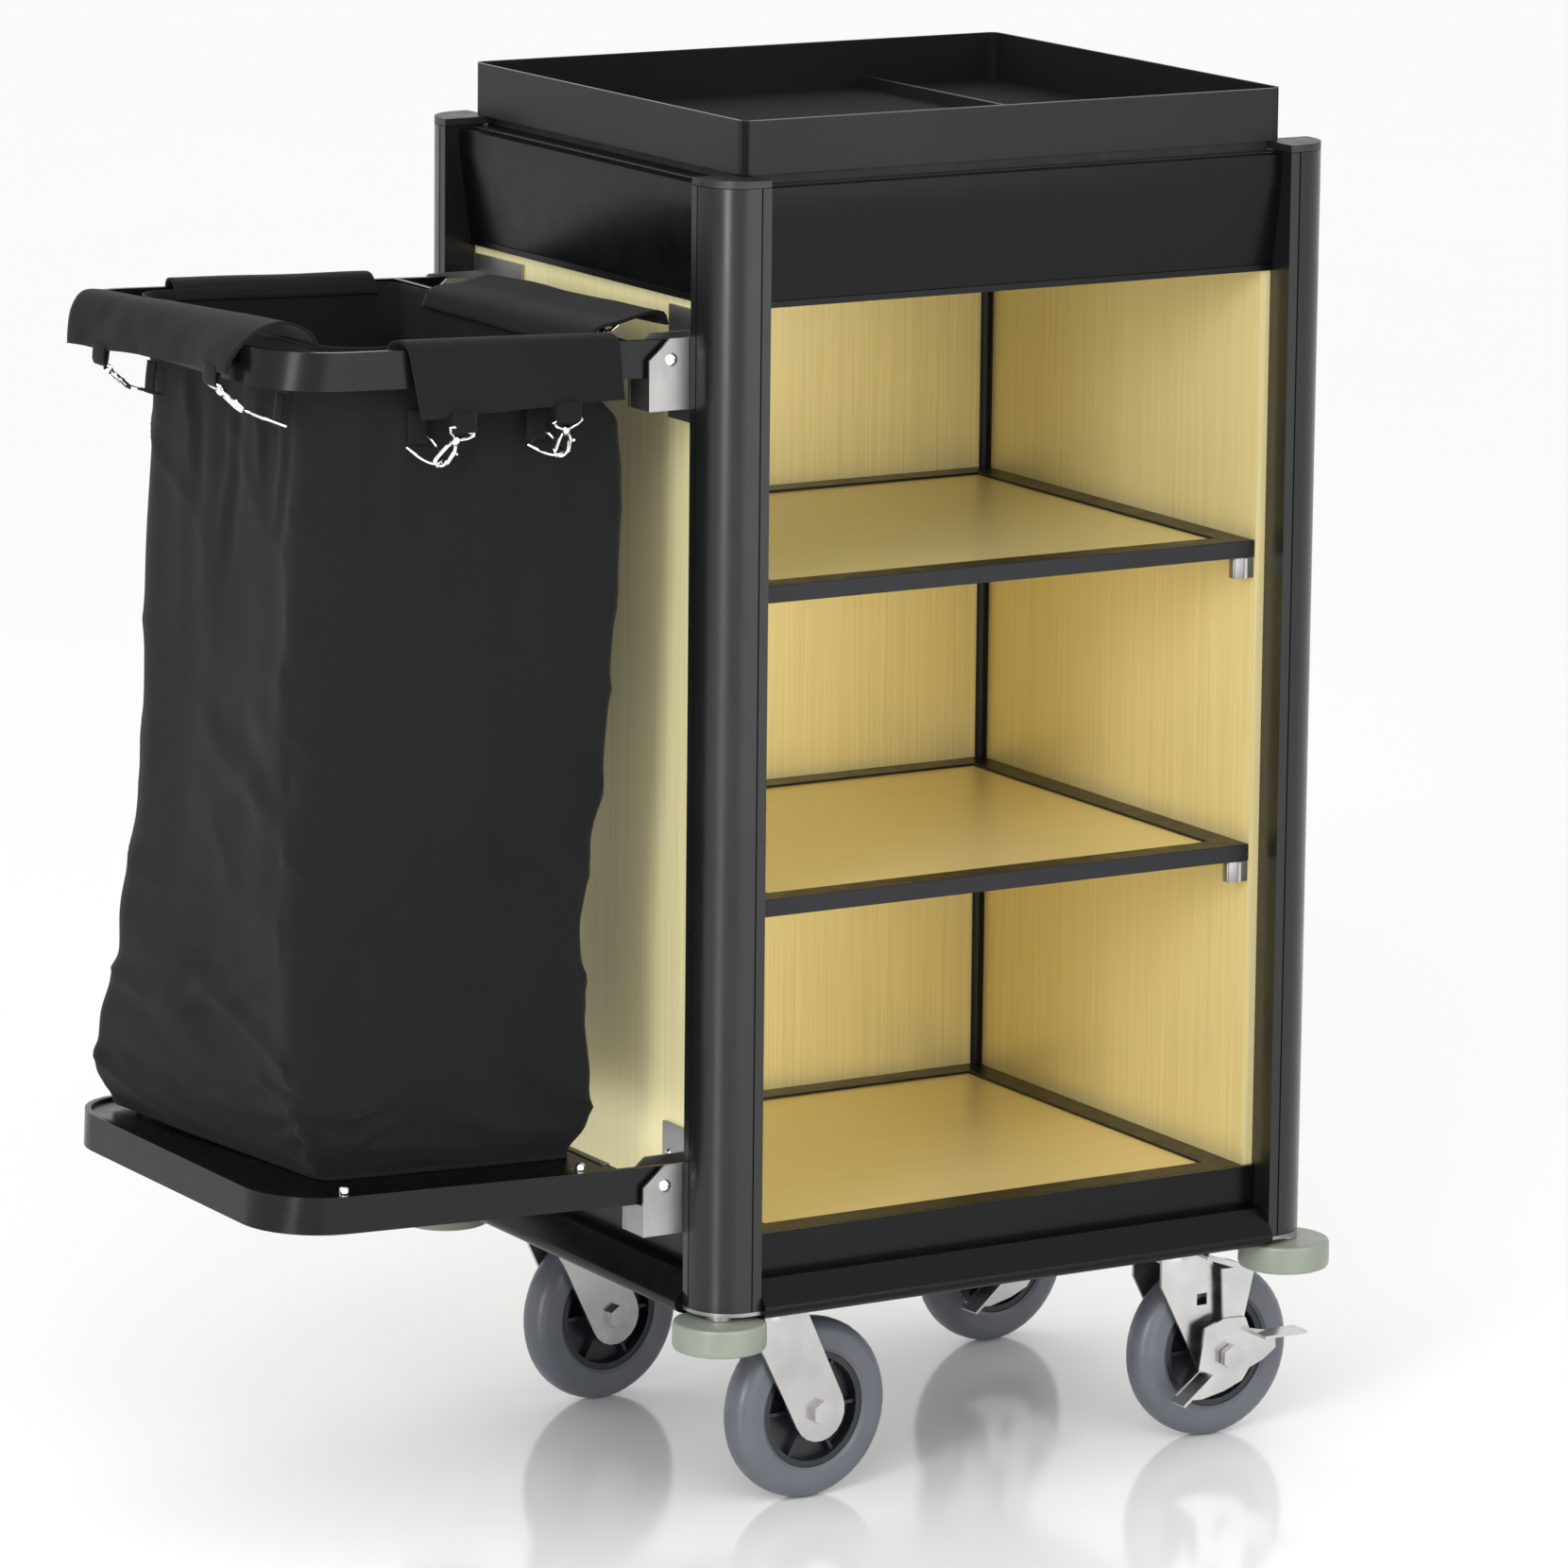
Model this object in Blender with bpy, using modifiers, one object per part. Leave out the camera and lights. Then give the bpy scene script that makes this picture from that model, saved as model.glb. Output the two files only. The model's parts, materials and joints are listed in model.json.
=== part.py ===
"""Housekeeping cart: an open cabinet on four casters with a folding bag rack on its left side.

Metres, +Z up. The open shelf side faces -Y, the bag rack is on the -X side, and the floor is z = 0.
Every sub-part is one named object. Each moving piece hangs from an empty on its joint's axis.
"""
from math import cos, pi, radians, sin

import bmesh
import bpy
from mathutils import Matrix, Vector

# ---------------------------------------------------------------- driving dimensions
HEIGHT = 1.140            # floor to the tray's rim
GAP = 0.0003              # between touching pieces
SIDE_PLANE = 0.290        # half width over the post flanges
FRONT_PLANE = 0.248       # half depth over the post flanges
POST_SIZE = 0.046         # post, measured along each side
WHEEL_RADIUS = 0.075      # 6 inch wheel
RACK_LENGTH = 0.343       # rack pivot to the outer face of the bag rack

# posts: a quarter-round face between two flanges, and a notch that takes the panels
FLANGE = 0.008
GROOVE_WIDTH = 0.0015
GROOVE_DEPTH = 0.0012
POST_WALL = 0.003
NOTCH = 0.019
ARC_STEPS = 8
ARC_CENTRE = FLANGE + GROOVE_WIDTH
ARC_RADIUS = POST_SIZE - ARC_CENTRE
POST_X = SIDE_PLANE - POST_SIZE           # inner edge of the post's front flange
POST_Y = FRONT_PLANE - POST_SIZE          # inner edge of the post's side flange

# heights, from the floor up
PLATE_BOTTOM = 0.1830
PLATE_THICK = 0.003
POST_BOTTOM = PLATE_BOTTOM + PLATE_THICK + GAP
CHASSIS_THICK = 0.0177
PANEL_BOTTOM = POST_BOTTOM + CHASSIS_THICK + GAP
PANEL_TOP = 1.0877
POST_TOP = 1.0900
CAP_THICK = 0.006
TRAY_HEIGHT = 0.043
TRAY_BOTTOM = HEIGHT - TRAY_HEIGHT
SHELF_THICK = 0.014
SHELF_TOPS = {"bottom": 0.243, "lower": 0.515, "upper": 0.769}

# panels
PANEL_INNER_X = 0.235
PANEL_OUTER_X = 0.260
PANEL_FRONT_Y = POST_Y + NOTCH - GAP
BACK_INNER_Y = 0.194
BACK_OUTER_Y = 0.216

# shelves, top board and tray
SHELF_BORDER = 0.024
SHELF_EDGE_DROP = 0.002
TOP_BOARD_THICK = 0.019
NECK_X = POST_X - 0.0006
NECK_Y = 0.2145
TRAY_X = 0.254
TRAY_Y = 0.220
TRAY_WALL = 0.0025
TRAY_CORNER = 0.010
DIVIDER_X = 0.120
DIVIDER_WIDTH = 0.004
DIVIDER_HEIGHT = 0.010
DIVIDER_GROOVE = 0.001

# fascias: (distance behind the flange plane, height) of the sloping outer face
FASCIA_TOP_SET = 0.0135
FASCIA_LOW_SET = 0.0245
FASCIA_CREASE = 1.0667
FASCIA_BOTTOM = 0.9916
FASCIA_LIP = 0.005

# base rails: a flat upper strip, a groove, and a bulging lower edge
RAIL_TOP = SHELF_TOPS["bottom"]
RAIL_BOTTOM = 0.1795
RAIL_STRIP_SET = 0.0225
RAIL_BACK_SET = 0.0268
RAIL_GROOVE = 0.2125
RAIL_BULGE_TOP = 0.2095
RAIL_GROOVE_DEPTH = 0.002
RAIL_SHOULDER_SET = 0.010
RAIL_BULGE = 0.007
RAIL_BULGE_RADIUS = 0.008

# bumper rollers
ROLLER_RADIUS = 0.038
ROLLER_HEIGHT = 0.024
ROLLER_TOP = 0.1790
ROLLER_BORE = 0.0055
ROLLER_OFFSET = 0.0278    # from the post's inner edges
PIN_RADIUS = 0.005
WASHER_RADIUS = 0.011
WASHER_THICK = 0.003

# casters; each one stands swivelled by a few degrees, the way it last rolled
CASTER_X = 0.195
CASTER_Y = 0.168
CASTER_TRAIL = 0.042
CASTER_TURN = {"front_left": 5.0, "front_right": 0.0, "back_left": 8.0, "back_right": 6.0}
TYRE_HALF = 0.016
TYRE_INNER = 0.0487
TYRE_SHOULDER = 0.013
TYRE_STEPS = 48
HUB_HALF = 0.0185
HUB_BOSS = 0.0165
HUB_RIM_HALF = 0.013
HUB_RIM_WALL = 0.005
HUB_WEB_HALF = 0.003
HUB_RIB_HALF = 0.010
HUB_RIB_THICK = 0.003
AXLE_RADIUS = 0.006
BORE_CLEARANCE = 0.0001
CHEEK_INNER = 0.0195
CHEEK_THICK = 0.003
CHEEK_OUTER = CHEEK_INNER + CHEEK_THICK
CHEEK_TOP = 0.1675
CHEEK_BACK_X = -0.018
CHEEK_FRONT_X = 0.026
CHEEK_END_RADIUS = 0.025
CROWN_BOTTOM = 0.158
CROWN_THICK = 0.004
HEAD_RADIUS = 0.024
HEX_RADIUS = 0.0105
HEX_THICK = 0.007
BRAKE_SHEET = 0.0025
STRAP_OUTER = 0.032       # outer face of the brake's fixed strap, from the wheel's middle
ROCKER_INNER = 0.033
ROCKER_OUTER = ROCKER_INNER + BRAKE_SHEET
PEDAL_OUTER = 0.054

# bag rack
BAR_HEIGHT = 0.030
BAR_THICK = 0.005
RACK_Y = 0.1945           # outer face of the arms
RACK_CORNER = 0.060
RACK_TILT = radians(1.8)  # both frames rest a little above level
PIVOT_X = 0.3065
BAG_PIVOT_Z = 0.953
PLATFORM_PIVOT_Z = 0.2865
ARM_PAST_PIVOT = 0.012
CROSSBAR_X = 0.3425
PIVOT_PIN = 0.003
PIVOT_HOLE = 0.0031
BRACKET_SHEET = 0.0025
BRACKET_OUTER_Y = 0.2005
BRACKET_INNER_Y = 0.167
BRACKET_PLATE_Y = 0.1205
BRACKET_RISE = 0.0165     # pivot to the top of the bracket's cheeks
BRACKET_DROP = 0.0405     # pivot to their lower edge
PLATE_RISE = 0.031
PLATE_DROP = 0.060
WEB_OUT = 0.0195          # pivot to the bracket's outer web
BOARD_THICK = 0.003
BOARD_SET = 0.003         # board's top below the platform bar's rim
BOARD_END_X = 0.338
BAG_WALL = 0.002
BAG_CLEAR = 0.004
BAG_INNER_X = 0.3495
BAG_BOTTOM = 0.312
BAG_ROUNDING = 0.020      # round edge of the bag's floor
BAG_INNER_CORNER = 0.035  # corner radius on the cabinet's side
BAG_TOP = 0.966

# the cabinet's centre is moved so that the whole cart's box is centred on the origin
RIGHT_REACH = CASTER_X + CASTER_TRAIL + WHEEL_RADIUS
LEFT_REACH = PIVOT_X + RACK_LENGTH * cos(RACK_TILT) + BAR_HEIGHT / 2 * sin(RACK_TILT)
CART_X = (LEFT_REACH - RIGHT_REACH) / 2

CORNERS = {
    "front_left": (-1, -1),
    "front_right": (1, -1),
    "back_left": (-1, 1),
    "back_right": (1, 1),
}
BRAKED = ("front_right", "back_right")

# colour (linear), roughness, metallic
MATERIALS = {
    "black_anodised": ((0.022, 0.024, 0.024), 0.38, 0.6),
    "black_plastic": ((0.020, 0.021, 0.022), 0.5, 0.0),
    "black_trim": ((0.030, 0.031, 0.034), 0.45, 0.4),
    "gold_laminate": ((0.62, 0.50, 0.28), 0.42, 0.3),
    "stainless": ((0.60, 0.59, 0.58), 0.32, 1.0),
    "black_board": ((0.020, 0.020, 0.020), 0.7, 0.0),
    "black_sheet": ((0.028, 0.030, 0.031), 0.45, 0.5),
    "zinc": ((0.62, 0.61, 0.60), 0.30, 1.0),
    "grey_tyre": ((0.085, 0.095, 0.110), 0.55, 0.0),
    "dark_hub": ((0.030, 0.034, 0.042), 0.5, 0.0),
    "bumper_rubber": ((0.42, 0.45, 0.38), 0.45, 0.0),
    "black_fabric": ((0.022, 0.023, 0.024), 0.85, 0.0),
}


# ---------------------------------------------------------------- scene helpers
def clear_scene():
    for old in list(bpy.data.objects):
        bpy.data.objects.remove(old, do_unlink=True)


def new_collection(name):
    collection = bpy.data.collections.new(name)
    bpy.context.scene.collection.children.link(collection)
    return collection


def make_materials():
    made = {}
    for name, (colour, roughness, metallic) in MATERIALS.items():
        material = bpy.data.materials.new(name)
        material.use_nodes = True
        shader = material.node_tree.nodes["Principled BSDF"]
        shader.inputs["Base Color"].default_value = (*colour, 1.0)
        shader.inputs["Roughness"].default_value = roughness
        shader.inputs["Metallic"].default_value = metallic
        material.diffuse_color = (*colour, 1.0)
        made[name] = material
    return made


def empty(name, location, parent=None, rotation=(0, 0, 0)):
    holder = bpy.data.objects.new(name, None)
    holder.empty_display_size = 0.03
    holder.location = location
    holder.rotation_euler = rotation
    holder.parent = parent
    parts.objects.link(holder)
    return holder


def part(name, mesh, material, parent, location=(0, 0, 0), rotation=(0, 0, 0), smooth=True):
    """Make one named sub-part from a mesh."""
    obj = bpy.data.objects.new(name, mesh)
    mesh.materials.clear()
    mesh.materials.append(materials[material])
    obj.parent = parent
    obj.location = location
    obj.rotation_euler = rotation
    parts.objects.link(obj)
    if smooth:
        mesh.shade_smooth()
        mesh.set_sharp_from_angle(angle=radians(35))
    return obj


def bevel(obj, width, segments=2):
    modifier = obj.modifiers.new("Bevel", "BEVEL")
    modifier.width = width
    modifier.segments = segments
    modifier.limit_method = "ANGLE"
    modifier.angle_limit = radians(40)


def evaluated_mesh(obj):
    """Bake an object with its modifiers into a clean closed mesh, and remove the object."""
    bpy.context.view_layer.update()
    graph = bpy.context.evaluated_depsgraph_get()
    mesh = bpy.data.meshes.new_from_object(obj.evaluated_get(graph))
    bpy.data.objects.remove(obj, do_unlink=True)
    work = bmesh.new()
    work.from_mesh(mesh)
    bmesh.ops.remove_doubles(work, verts=work.verts, dist=1e-6)
    bmesh.ops.recalc_face_normals(work, faces=work.faces)
    work.to_mesh(mesh)
    work.free()
    return mesh


# ---------------------------------------------------------------- shape helpers
def block(low, high):
    """Box between two corners."""
    low, high = Vector(low), Vector(high)
    size = high - low
    work = bmesh.new()
    bmesh.ops.create_cube(work, size=1.0)
    bmesh.ops.transform(work, verts=work.verts, matrix=Matrix.Diagonal((*size, 1.0)))
    bmesh.ops.translate(work, verts=work.verts, vec=(low + high) / 2)
    mesh = bpy.data.meshes.new("block")
    work.to_mesh(mesh)
    work.free()
    return mesh


def rod(radius, start, end, sides=24):
    """Cylinder from one point to another."""
    start, end = Vector(start), Vector(end)
    along = end - start
    work = bmesh.new()
    bmesh.ops.create_cone(work, cap_ends=True, segments=sides, radius1=radius, radius2=radius,
                          depth=along.length)
    turn = along.to_track_quat("Z", "Y").to_matrix().to_4x4()
    bmesh.ops.transform(work, verts=work.verts, matrix=Matrix.Translation((start + end) / 2) @ turn)
    mesh = bpy.data.meshes.new("rod")
    work.to_mesh(mesh)
    work.free()
    return mesh


def slab(outlines, low, high):
    """Flat outlines in XY, the first one outside and the others holes, from z low to z high."""
    curve = bpy.data.curves.new("slab", "CURVE")
    curve.dimensions = "2D"
    curve.fill_mode = "BOTH"
    curve.extrude = (high - low) / 2
    for outline in outlines:
        spline = curve.splines.new("POLY")
        spline.points.add(len(outline) - 1)
        for point, (x, y) in zip(spline.points, outline):
            point.co = (x, y, 0, 1)
        spline.use_cyclic_u = True
    obj = bpy.data.objects.new("slab", curve)
    cutters.objects.link(obj)
    mesh = evaluated_mesh(obj)
    bpy.data.curves.remove(curve)
    mesh.transform(Matrix.Translation((0, 0, (low + high) / 2)))
    return mesh


def upright_slab(outline, near, far):
    """Outline in the XZ plane, from y = -near to y = -far."""
    mesh = slab([outline], near, far)
    mesh.transform(Matrix.Rotation(pi / 2, 4, "X"))
    return mesh


def turned(profile, steps, closed=True):
    """Profile of (radius, height) points turned about Z with a Screw modifier."""
    mesh = bpy.data.meshes.new("profile")
    edges = [(i, i + 1) for i in range(len(profile) - 1)]
    if closed:
        edges.append((len(profile) - 1, 0))
    mesh.from_pydata([(radius, 0, height) for radius, height in profile], edges, [])
    obj = bpy.data.objects.new("profile", mesh)
    cutters.objects.link(obj)
    screw = obj.modifiers.new("Screw", "SCREW")
    screw.steps = steps
    screw.render_steps = steps
    screw.use_merge_vertices = True
    screw.merge_threshold = 0.0001
    baked = evaluated_mesh(obj)
    bpy.data.meshes.remove(mesh)
    return baked


def boolean(base, others, operation):
    """Join meshes to a base mesh, or cut them out of it."""
    host = bpy.data.objects.new("host", base)
    cutters.objects.link(host)
    tools = []
    for other in others:
        tool = bpy.data.objects.new("tool", other)
        tool.hide_render = True
        tool.display_type = "WIRE"
        cutters.objects.link(tool)
        modifier = host.modifiers.new("Boolean", "BOOLEAN")
        modifier.operation = operation
        modifier.solver = "EXACT"
        modifier.object = tool
        tools.append(tool)
    baked = evaluated_mesh(host)
    for tool in tools:
        bpy.data.objects.remove(tool, do_unlink=True)
    return baked


def arc(centre, radius, start, end, steps):
    """Points on an arc, angles in degrees, both ends included."""
    points = []
    for i in range(steps + 1):
        angle = radians(start + (end - start) * i / steps)
        points.append((centre[0] + radius * cos(angle), centre[1] + radius * sin(angle)))
    return points


def rounded_rectangle(low, high, radii, steps=4):
    """Outline with a corner radius for (low x) and (high x) corners."""
    left, right = radii
    points = arc((low[0] + left, low[1] + left), left, 180, 270, steps)
    points += arc((high[0] - right, low[1] + right), right, 270, 360, steps)
    points += arc((high[0] - right, high[1] - right), right, 0, 90, steps)
    points += arc((low[0] + left, high[1] - left), left, 90, 180, steps)
    return points


def rectangle(low, high):
    return [(low[0], low[1]), (high[0], low[1]), (high[0], high[1]), (low[0], high[1])]


def signed(outline, sign_x, sign_y):
    return [(sign_x * x, sign_y * y) for x, y in outline]


# ---------------------------------------------------------------- cabinet
def post_outline():
    """Outer section of a corner post, from the corner of its two inner edges."""
    outline = [(0, POST_SIZE), (FLANGE, POST_SIZE)]
    outline += [(FLANGE, POST_SIZE - GROOVE_DEPTH), (ARC_CENTRE, POST_SIZE - GROOVE_DEPTH)]
    outline += arc((ARC_CENTRE, ARC_CENTRE), ARC_RADIUS, 90, 0, ARC_STEPS)
    outline += [(POST_SIZE - GROOVE_DEPTH, ARC_CENTRE), (POST_SIZE - GROOVE_DEPTH, FLANGE)]
    outline += [(POST_SIZE, FLANGE), (POST_SIZE, 0), (NOTCH, 0), (NOTCH, NOTCH), (0, NOTCH)]
    return outline


def post_cavity():
    """Hollow inside the post's section."""
    edge = POST_SIZE - POST_WALL
    step = NOTCH + POST_WALL
    outline = [(POST_WALL, edge)]
    outline += arc((ARC_CENTRE, ARC_CENTRE), ARC_RADIUS - POST_WALL, 90, 0, ARC_STEPS)
    outline += [(edge, POST_WALL), (step, POST_WALL), (step, step), (POST_WALL, step)]
    return outline


def cap_outline():
    outline = [(0, 0), (0, POST_SIZE)]
    outline += arc((ARC_CENTRE, ARC_CENTRE), ARC_RADIUS, 90, 0, ARC_STEPS)
    return outline + [(POST_SIZE, 0)]


def corner_plate_outline():
    """Steel plate under a post; its inner part carries the caster."""
    inward_x, inward_y = -0.100, -0.088
    side = PANEL_OUTER_X - POST_X
    front = NOTCH - GAP
    outline = [(inward_x, inward_y), (side, inward_y), (side, 0), (POST_SIZE, 0)]
    outline += arc((ARC_CENTRE, ARC_CENTRE), ARC_RADIUS, 0, 90, ARC_STEPS)
    return outline + [(0, POST_SIZE), (0, front), (inward_x, front)]


def build_posts(cart):
    cap_bottom = POST_TOP + GAP
    for name, (sx, sy) in CORNERS.items():
        corner = (sx * POST_X, sy * POST_Y, 0)
        sections = [signed(post_outline(), sx, sy), signed(post_cavity(), sx, sy)]
        part(f"corner_post_{name}", slab(sections, POST_BOTTOM, POST_TOP), "black_anodised", cart, corner)
        cap_mesh = slab([signed(cap_outline(), sx, sy)], cap_bottom, cap_bottom + CAP_THICK)
        cap = part(f"post_cap_{name}", cap_mesh, "black_plastic", cart, corner)
        bevel(cap, 0.0012)
        build_corner_plate(name, sx, sy, corner, cart)


def build_corner_plate(name, sx, sy, corner, cart):
    """Plate with the pin and the two washers that hold the bumper roller."""
    plate = slab([signed(corner_plate_outline(), sx, sy)], PLATE_BOTTOM, PLATE_BOTTOM + PLATE_THICK)
    x, y = sx * ROLLER_OFFSET, sy * ROLLER_OFFSET
    lower_face = ROLLER_TOP - ROLLER_HEIGHT - 0.0005
    lower_end = lower_face - WASHER_THICK
    pin = rod(PIN_RADIUS, (x, y, lower_end + 0.001), (x, y, PLATE_BOTTOM + 0.001))
    lower_washer = rod(WASHER_RADIUS, (x, y, lower_end), (x, y, lower_face))
    upper_washer = rod(WASHER_RADIUS, (x, y, ROLLER_TOP + 0.0005), (x, y, PLATE_BOTTOM + 0.0005))
    mesh = boolean(plate, [pin, lower_washer, upper_washer], "UNION")
    part(f"corner_plate_{name}", mesh, "stainless", cart, corner)


def build_panels(cart):
    front, back = -PANEL_FRONT_Y, PANEL_FRONT_Y
    for name, sx in (("left", -1), ("right", 1)):
        x_low, x_high = sorted((sx * PANEL_INNER_X, sx * PANEL_OUTER_X))
        mesh = block((x_low, front, PANEL_BOTTOM), (x_high, back, PANEL_TOP))
        part(f"{name}_panel", mesh, "gold_laminate", cart, smooth=False)
    side = PANEL_INNER_X - GAP
    mesh = block((-side, BACK_INNER_Y, PANEL_BOTTOM), (side, BACK_OUTER_Y, PANEL_TOP))
    part("back_panel", mesh, "gold_laminate", cart, smooth=False)


def inner_rectangle(inset=0.0):
    """Plan of the space between the panels, pulled in by an inset on every side."""
    side = PANEL_INNER_X - 0.0005 - inset
    front = -PANEL_FRONT_Y + 0.0002 + inset
    back = BACK_INNER_Y - 0.0005 - inset
    return (-side, front), (side, back)


def build_shelves(cart):
    """Each shelf is a black edge frame round a gold board that sits a little lower."""
    outer = rectangle(*inner_rectangle())
    inner = rectangle(*inner_rectangle(SHELF_BORDER))
    board_low, board_high = inner_rectangle(SHELF_BORDER + GAP)
    for name, top in SHELF_TOPS.items():
        bottom = top - SHELF_THICK
        frame = part(f"{name}_shelf_frame", slab([outer, inner], bottom, top), "black_trim", cart)
        bevel(frame, 0.0005, 1)
        mesh = block((*board_low, bottom), (*board_high, top - SHELF_EDGE_DROP))
        part(f"{name}_shelf_board", mesh, "gold_laminate", cart, smooth=False)


def build_chassis(cart):
    """Board under the bottom shelf, and the board with a neck that carries the tray."""
    side = PANEL_OUTER_X
    front = PANEL_FRONT_Y - GAP
    mesh = block((-side, -front, POST_BOTTOM), (side, front, PANEL_BOTTOM - GAP))
    part("chassis_board", mesh, "black_board", cart, smooth=False)
    low, high = inner_rectangle()
    board = block((*low, PANEL_TOP - TOP_BOARD_THICK), (*high, PANEL_TOP + 0.001))
    neck = block((-NECK_X, -NECK_Y, PANEL_TOP + GAP), (NECK_X, NECK_Y, TRAY_BOTTOM - GAP))
    part("top_board", boolean(board, [neck], "UNION"), "black_board", cart, smooth=False)


def build_tray(cart):
    """Open box of thin sheet, with a low divider that stands in a groove across its floor."""
    outer = rounded_rectangle((-TRAY_X, -TRAY_Y), (TRAY_X, TRAY_Y), (TRAY_CORNER, TRAY_CORNER))
    radius = TRAY_CORNER - TRAY_WALL
    inside_x, inside_y = TRAY_X - TRAY_WALL, TRAY_Y - TRAY_WALL
    inner = rounded_rectangle((-inside_x, -inside_y), (inside_x, inside_y), (radius, radius))
    floor = TRAY_BOTTOM + TRAY_WALL
    hollow = slab([inner], floor, HEIGHT + 0.01)
    low = (DIVIDER_X - DIVIDER_WIDTH / 2, -inside_y, floor - DIVIDER_GROOVE + GAP)
    high = (DIVIDER_X + DIVIDER_WIDTH / 2, inside_y, floor + DIVIDER_HEIGHT)
    room = Vector((GAP, GAP, GAP))
    groove = block(Vector(low) - room, Vector(high) + room)
    shell = boolean(slab([outer], TRAY_BOTTOM, HEIGHT), [hollow, groove], "DIFFERENCE")
    part("tray_box", shell, "black_anodised", cart)
    part("tray_divider", block(low, high), "black_plastic", cart, smooth=False)


def fascia_profile(plane, back):
    """Section of a fascia: (distance from the cart's middle, height)."""
    top = plane - FASCIA_TOP_SET
    low = plane - FASCIA_LOW_SET
    lip = low + 0.001
    lip_top = FASCIA_BOTTOM + FASCIA_LIP
    return [(top, PANEL_TOP), (top, FASCIA_CREASE), (low, lip_top), (lip, lip_top), (lip, FASCIA_BOTTOM),
            (back, FASCIA_BOTTOM), (back, PANEL_TOP)]


def rail_profile(plane):
    """Section of a base rail: flat strip, groove, sloping face and round lower edge."""
    strip = plane - RAIL_STRIP_SET
    back = plane - RAIL_BACK_SET
    nose = plane + RAIL_BULGE
    radius = RAIL_BULGE_RADIUS
    groove = strip - RAIL_GROOVE_DEPTH
    profile = [(back, RAIL_TOP), (strip, RAIL_TOP), (strip, RAIL_GROOVE), (groove, RAIL_GROOVE)]
    profile += [(groove, RAIL_BULGE_TOP), (plane - RAIL_SHOULDER_SET, RAIL_BULGE_TOP)]
    profile += arc((nose - radius, RAIL_BOTTOM + radius), radius, 25, -90, 5)
    return profile + [(back, RAIL_BOTTOM)]


def build_sides(cart):
    """Fascias and base rails on the four sides, each a profile run between two posts."""
    fascia_front_back = PANEL_FRONT_Y + GAP
    fascia_side_back = PANEL_OUTER_X + 0.0005
    sides = {
        "front": (FRONT_PLANE, fascia_front_back, POST_X - GAP, -90),
        "back": (FRONT_PLANE, fascia_front_back, POST_X - GAP, 90),
        "left": (SIDE_PLANE, fascia_side_back, POST_Y - GAP, 180),
        "right": (SIDE_PLANE, fascia_side_back, POST_Y - GAP, 0),
    }
    for name, (plane, back, half_length, facing) in sides.items():
        turn = (pi / 2, 0, radians(facing))
        fascia = slab([fascia_profile(plane, back)], -half_length, half_length)
        part(f"{name}_fascia", fascia, "black_anodised", cart, rotation=turn)
        rail = slab([rail_profile(plane)], -half_length, half_length)
        part(f"{name}_base_rail", rail, "black_anodised", cart, rotation=turn)


# ---------------------------------------------------------------- bag rack
def bracket_mesh(sy):
    """Folded bracket with a pivot pin, about the pivot; sy is the side of the rack it is on."""
    panel = PIVOT_X - PANEL_OUTER_X - GAP
    outer, inner = BRACKET_OUTER_Y, BRACKET_INNER_Y
    inside = panel - 0.001
    cheek = [(-WEB_OUT, -BRACKET_DROP), (-WEB_OUT, 0), (0, BRACKET_RISE), (inside, BRACKET_RISE),
             (inside, -BRACKET_DROP)]
    cheeks = []
    for near, far in ((outer - BRACKET_SHEET, outer), (inner, inner + BRACKET_SHEET)):
        low, high = sorted((-sy * near, -sy * far))
        cheeks.append(upright_slab(cheek, low, high))
    # the web and the plate stop a hair inside the cheeks' faces, so that no two faces coincide
    hair = 0.0002
    y_low, y_high = sorted((sy * (inner + hair), sy * (outer - hair)))
    web_top = -BAR_HEIGHT / 2 - GAP
    web = block((hair - WEB_OUT, y_low, hair - BRACKET_DROP), (BRACKET_SHEET - WEB_OUT, y_high, web_top))
    y_low, y_high = sorted((sy * BRACKET_PLATE_Y, sy * (outer - hair)))
    plate = block((panel - BRACKET_SHEET, y_low, -PLATE_DROP), (panel, y_high, PLATE_RISE))
    pin = rod(PIVOT_PIN, (0, sy * (inner + 0.001), 0), (0, sy * (outer - 0.001), 0))
    return boolean(cheeks[0], [plate, web, cheeks[1], pin], "UNION")


def build_brackets(cart):
    for height, z in (("upper", BAG_PIVOT_Z), ("lower", PLATFORM_PIVOT_Z)):
        for end, sy in (("front", -1), ("back", 1)):
            mesh = bracket_mesh(sy)
            part(f"{height}_bracket_{end}", mesh, "stainless", cart, (-PIVOT_X, 0, z), smooth=False)


def u_bar_outline():
    """Plan of the bent flat bar, about the pivot axis, open towards the cabinet (+X)."""
    out = -RACK_LENGTH
    end = ARM_PAST_PIVOT
    centre_x = out + RACK_CORNER
    centre_y = RACK_Y - RACK_CORNER
    inner = RACK_CORNER - BAR_THICK
    outline = [(end, -RACK_Y)]
    outline += arc((centre_x, -centre_y), RACK_CORNER, 270, 180, 8)
    outline += arc((centre_x, centre_y), RACK_CORNER, 180, 90, 8)
    outline += [(end, RACK_Y), (end, RACK_Y - BAR_THICK)]
    outline += arc((centre_x, centre_y), inner, 90, 180, 8)
    outline += arc((centre_x, -centre_y), inner, 180, 270, 8)
    return outline + [(end, BAR_THICK - RACK_Y)]


def u_frame_mesh(extra):
    """Flat bar bent to a U, with extra meshes joined on and pivot holes through both arms."""
    bar = slab([u_bar_outline()], -BAR_HEIGHT / 2, BAR_HEIGHT / 2)
    if extra:
        bar = boolean(bar, extra, "UNION")
    return boolean(bar, [rod(PIVOT_HOLE, (0, -0.25, 0), (0, 0.25, 0))], "DIFFERENCE")


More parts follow.
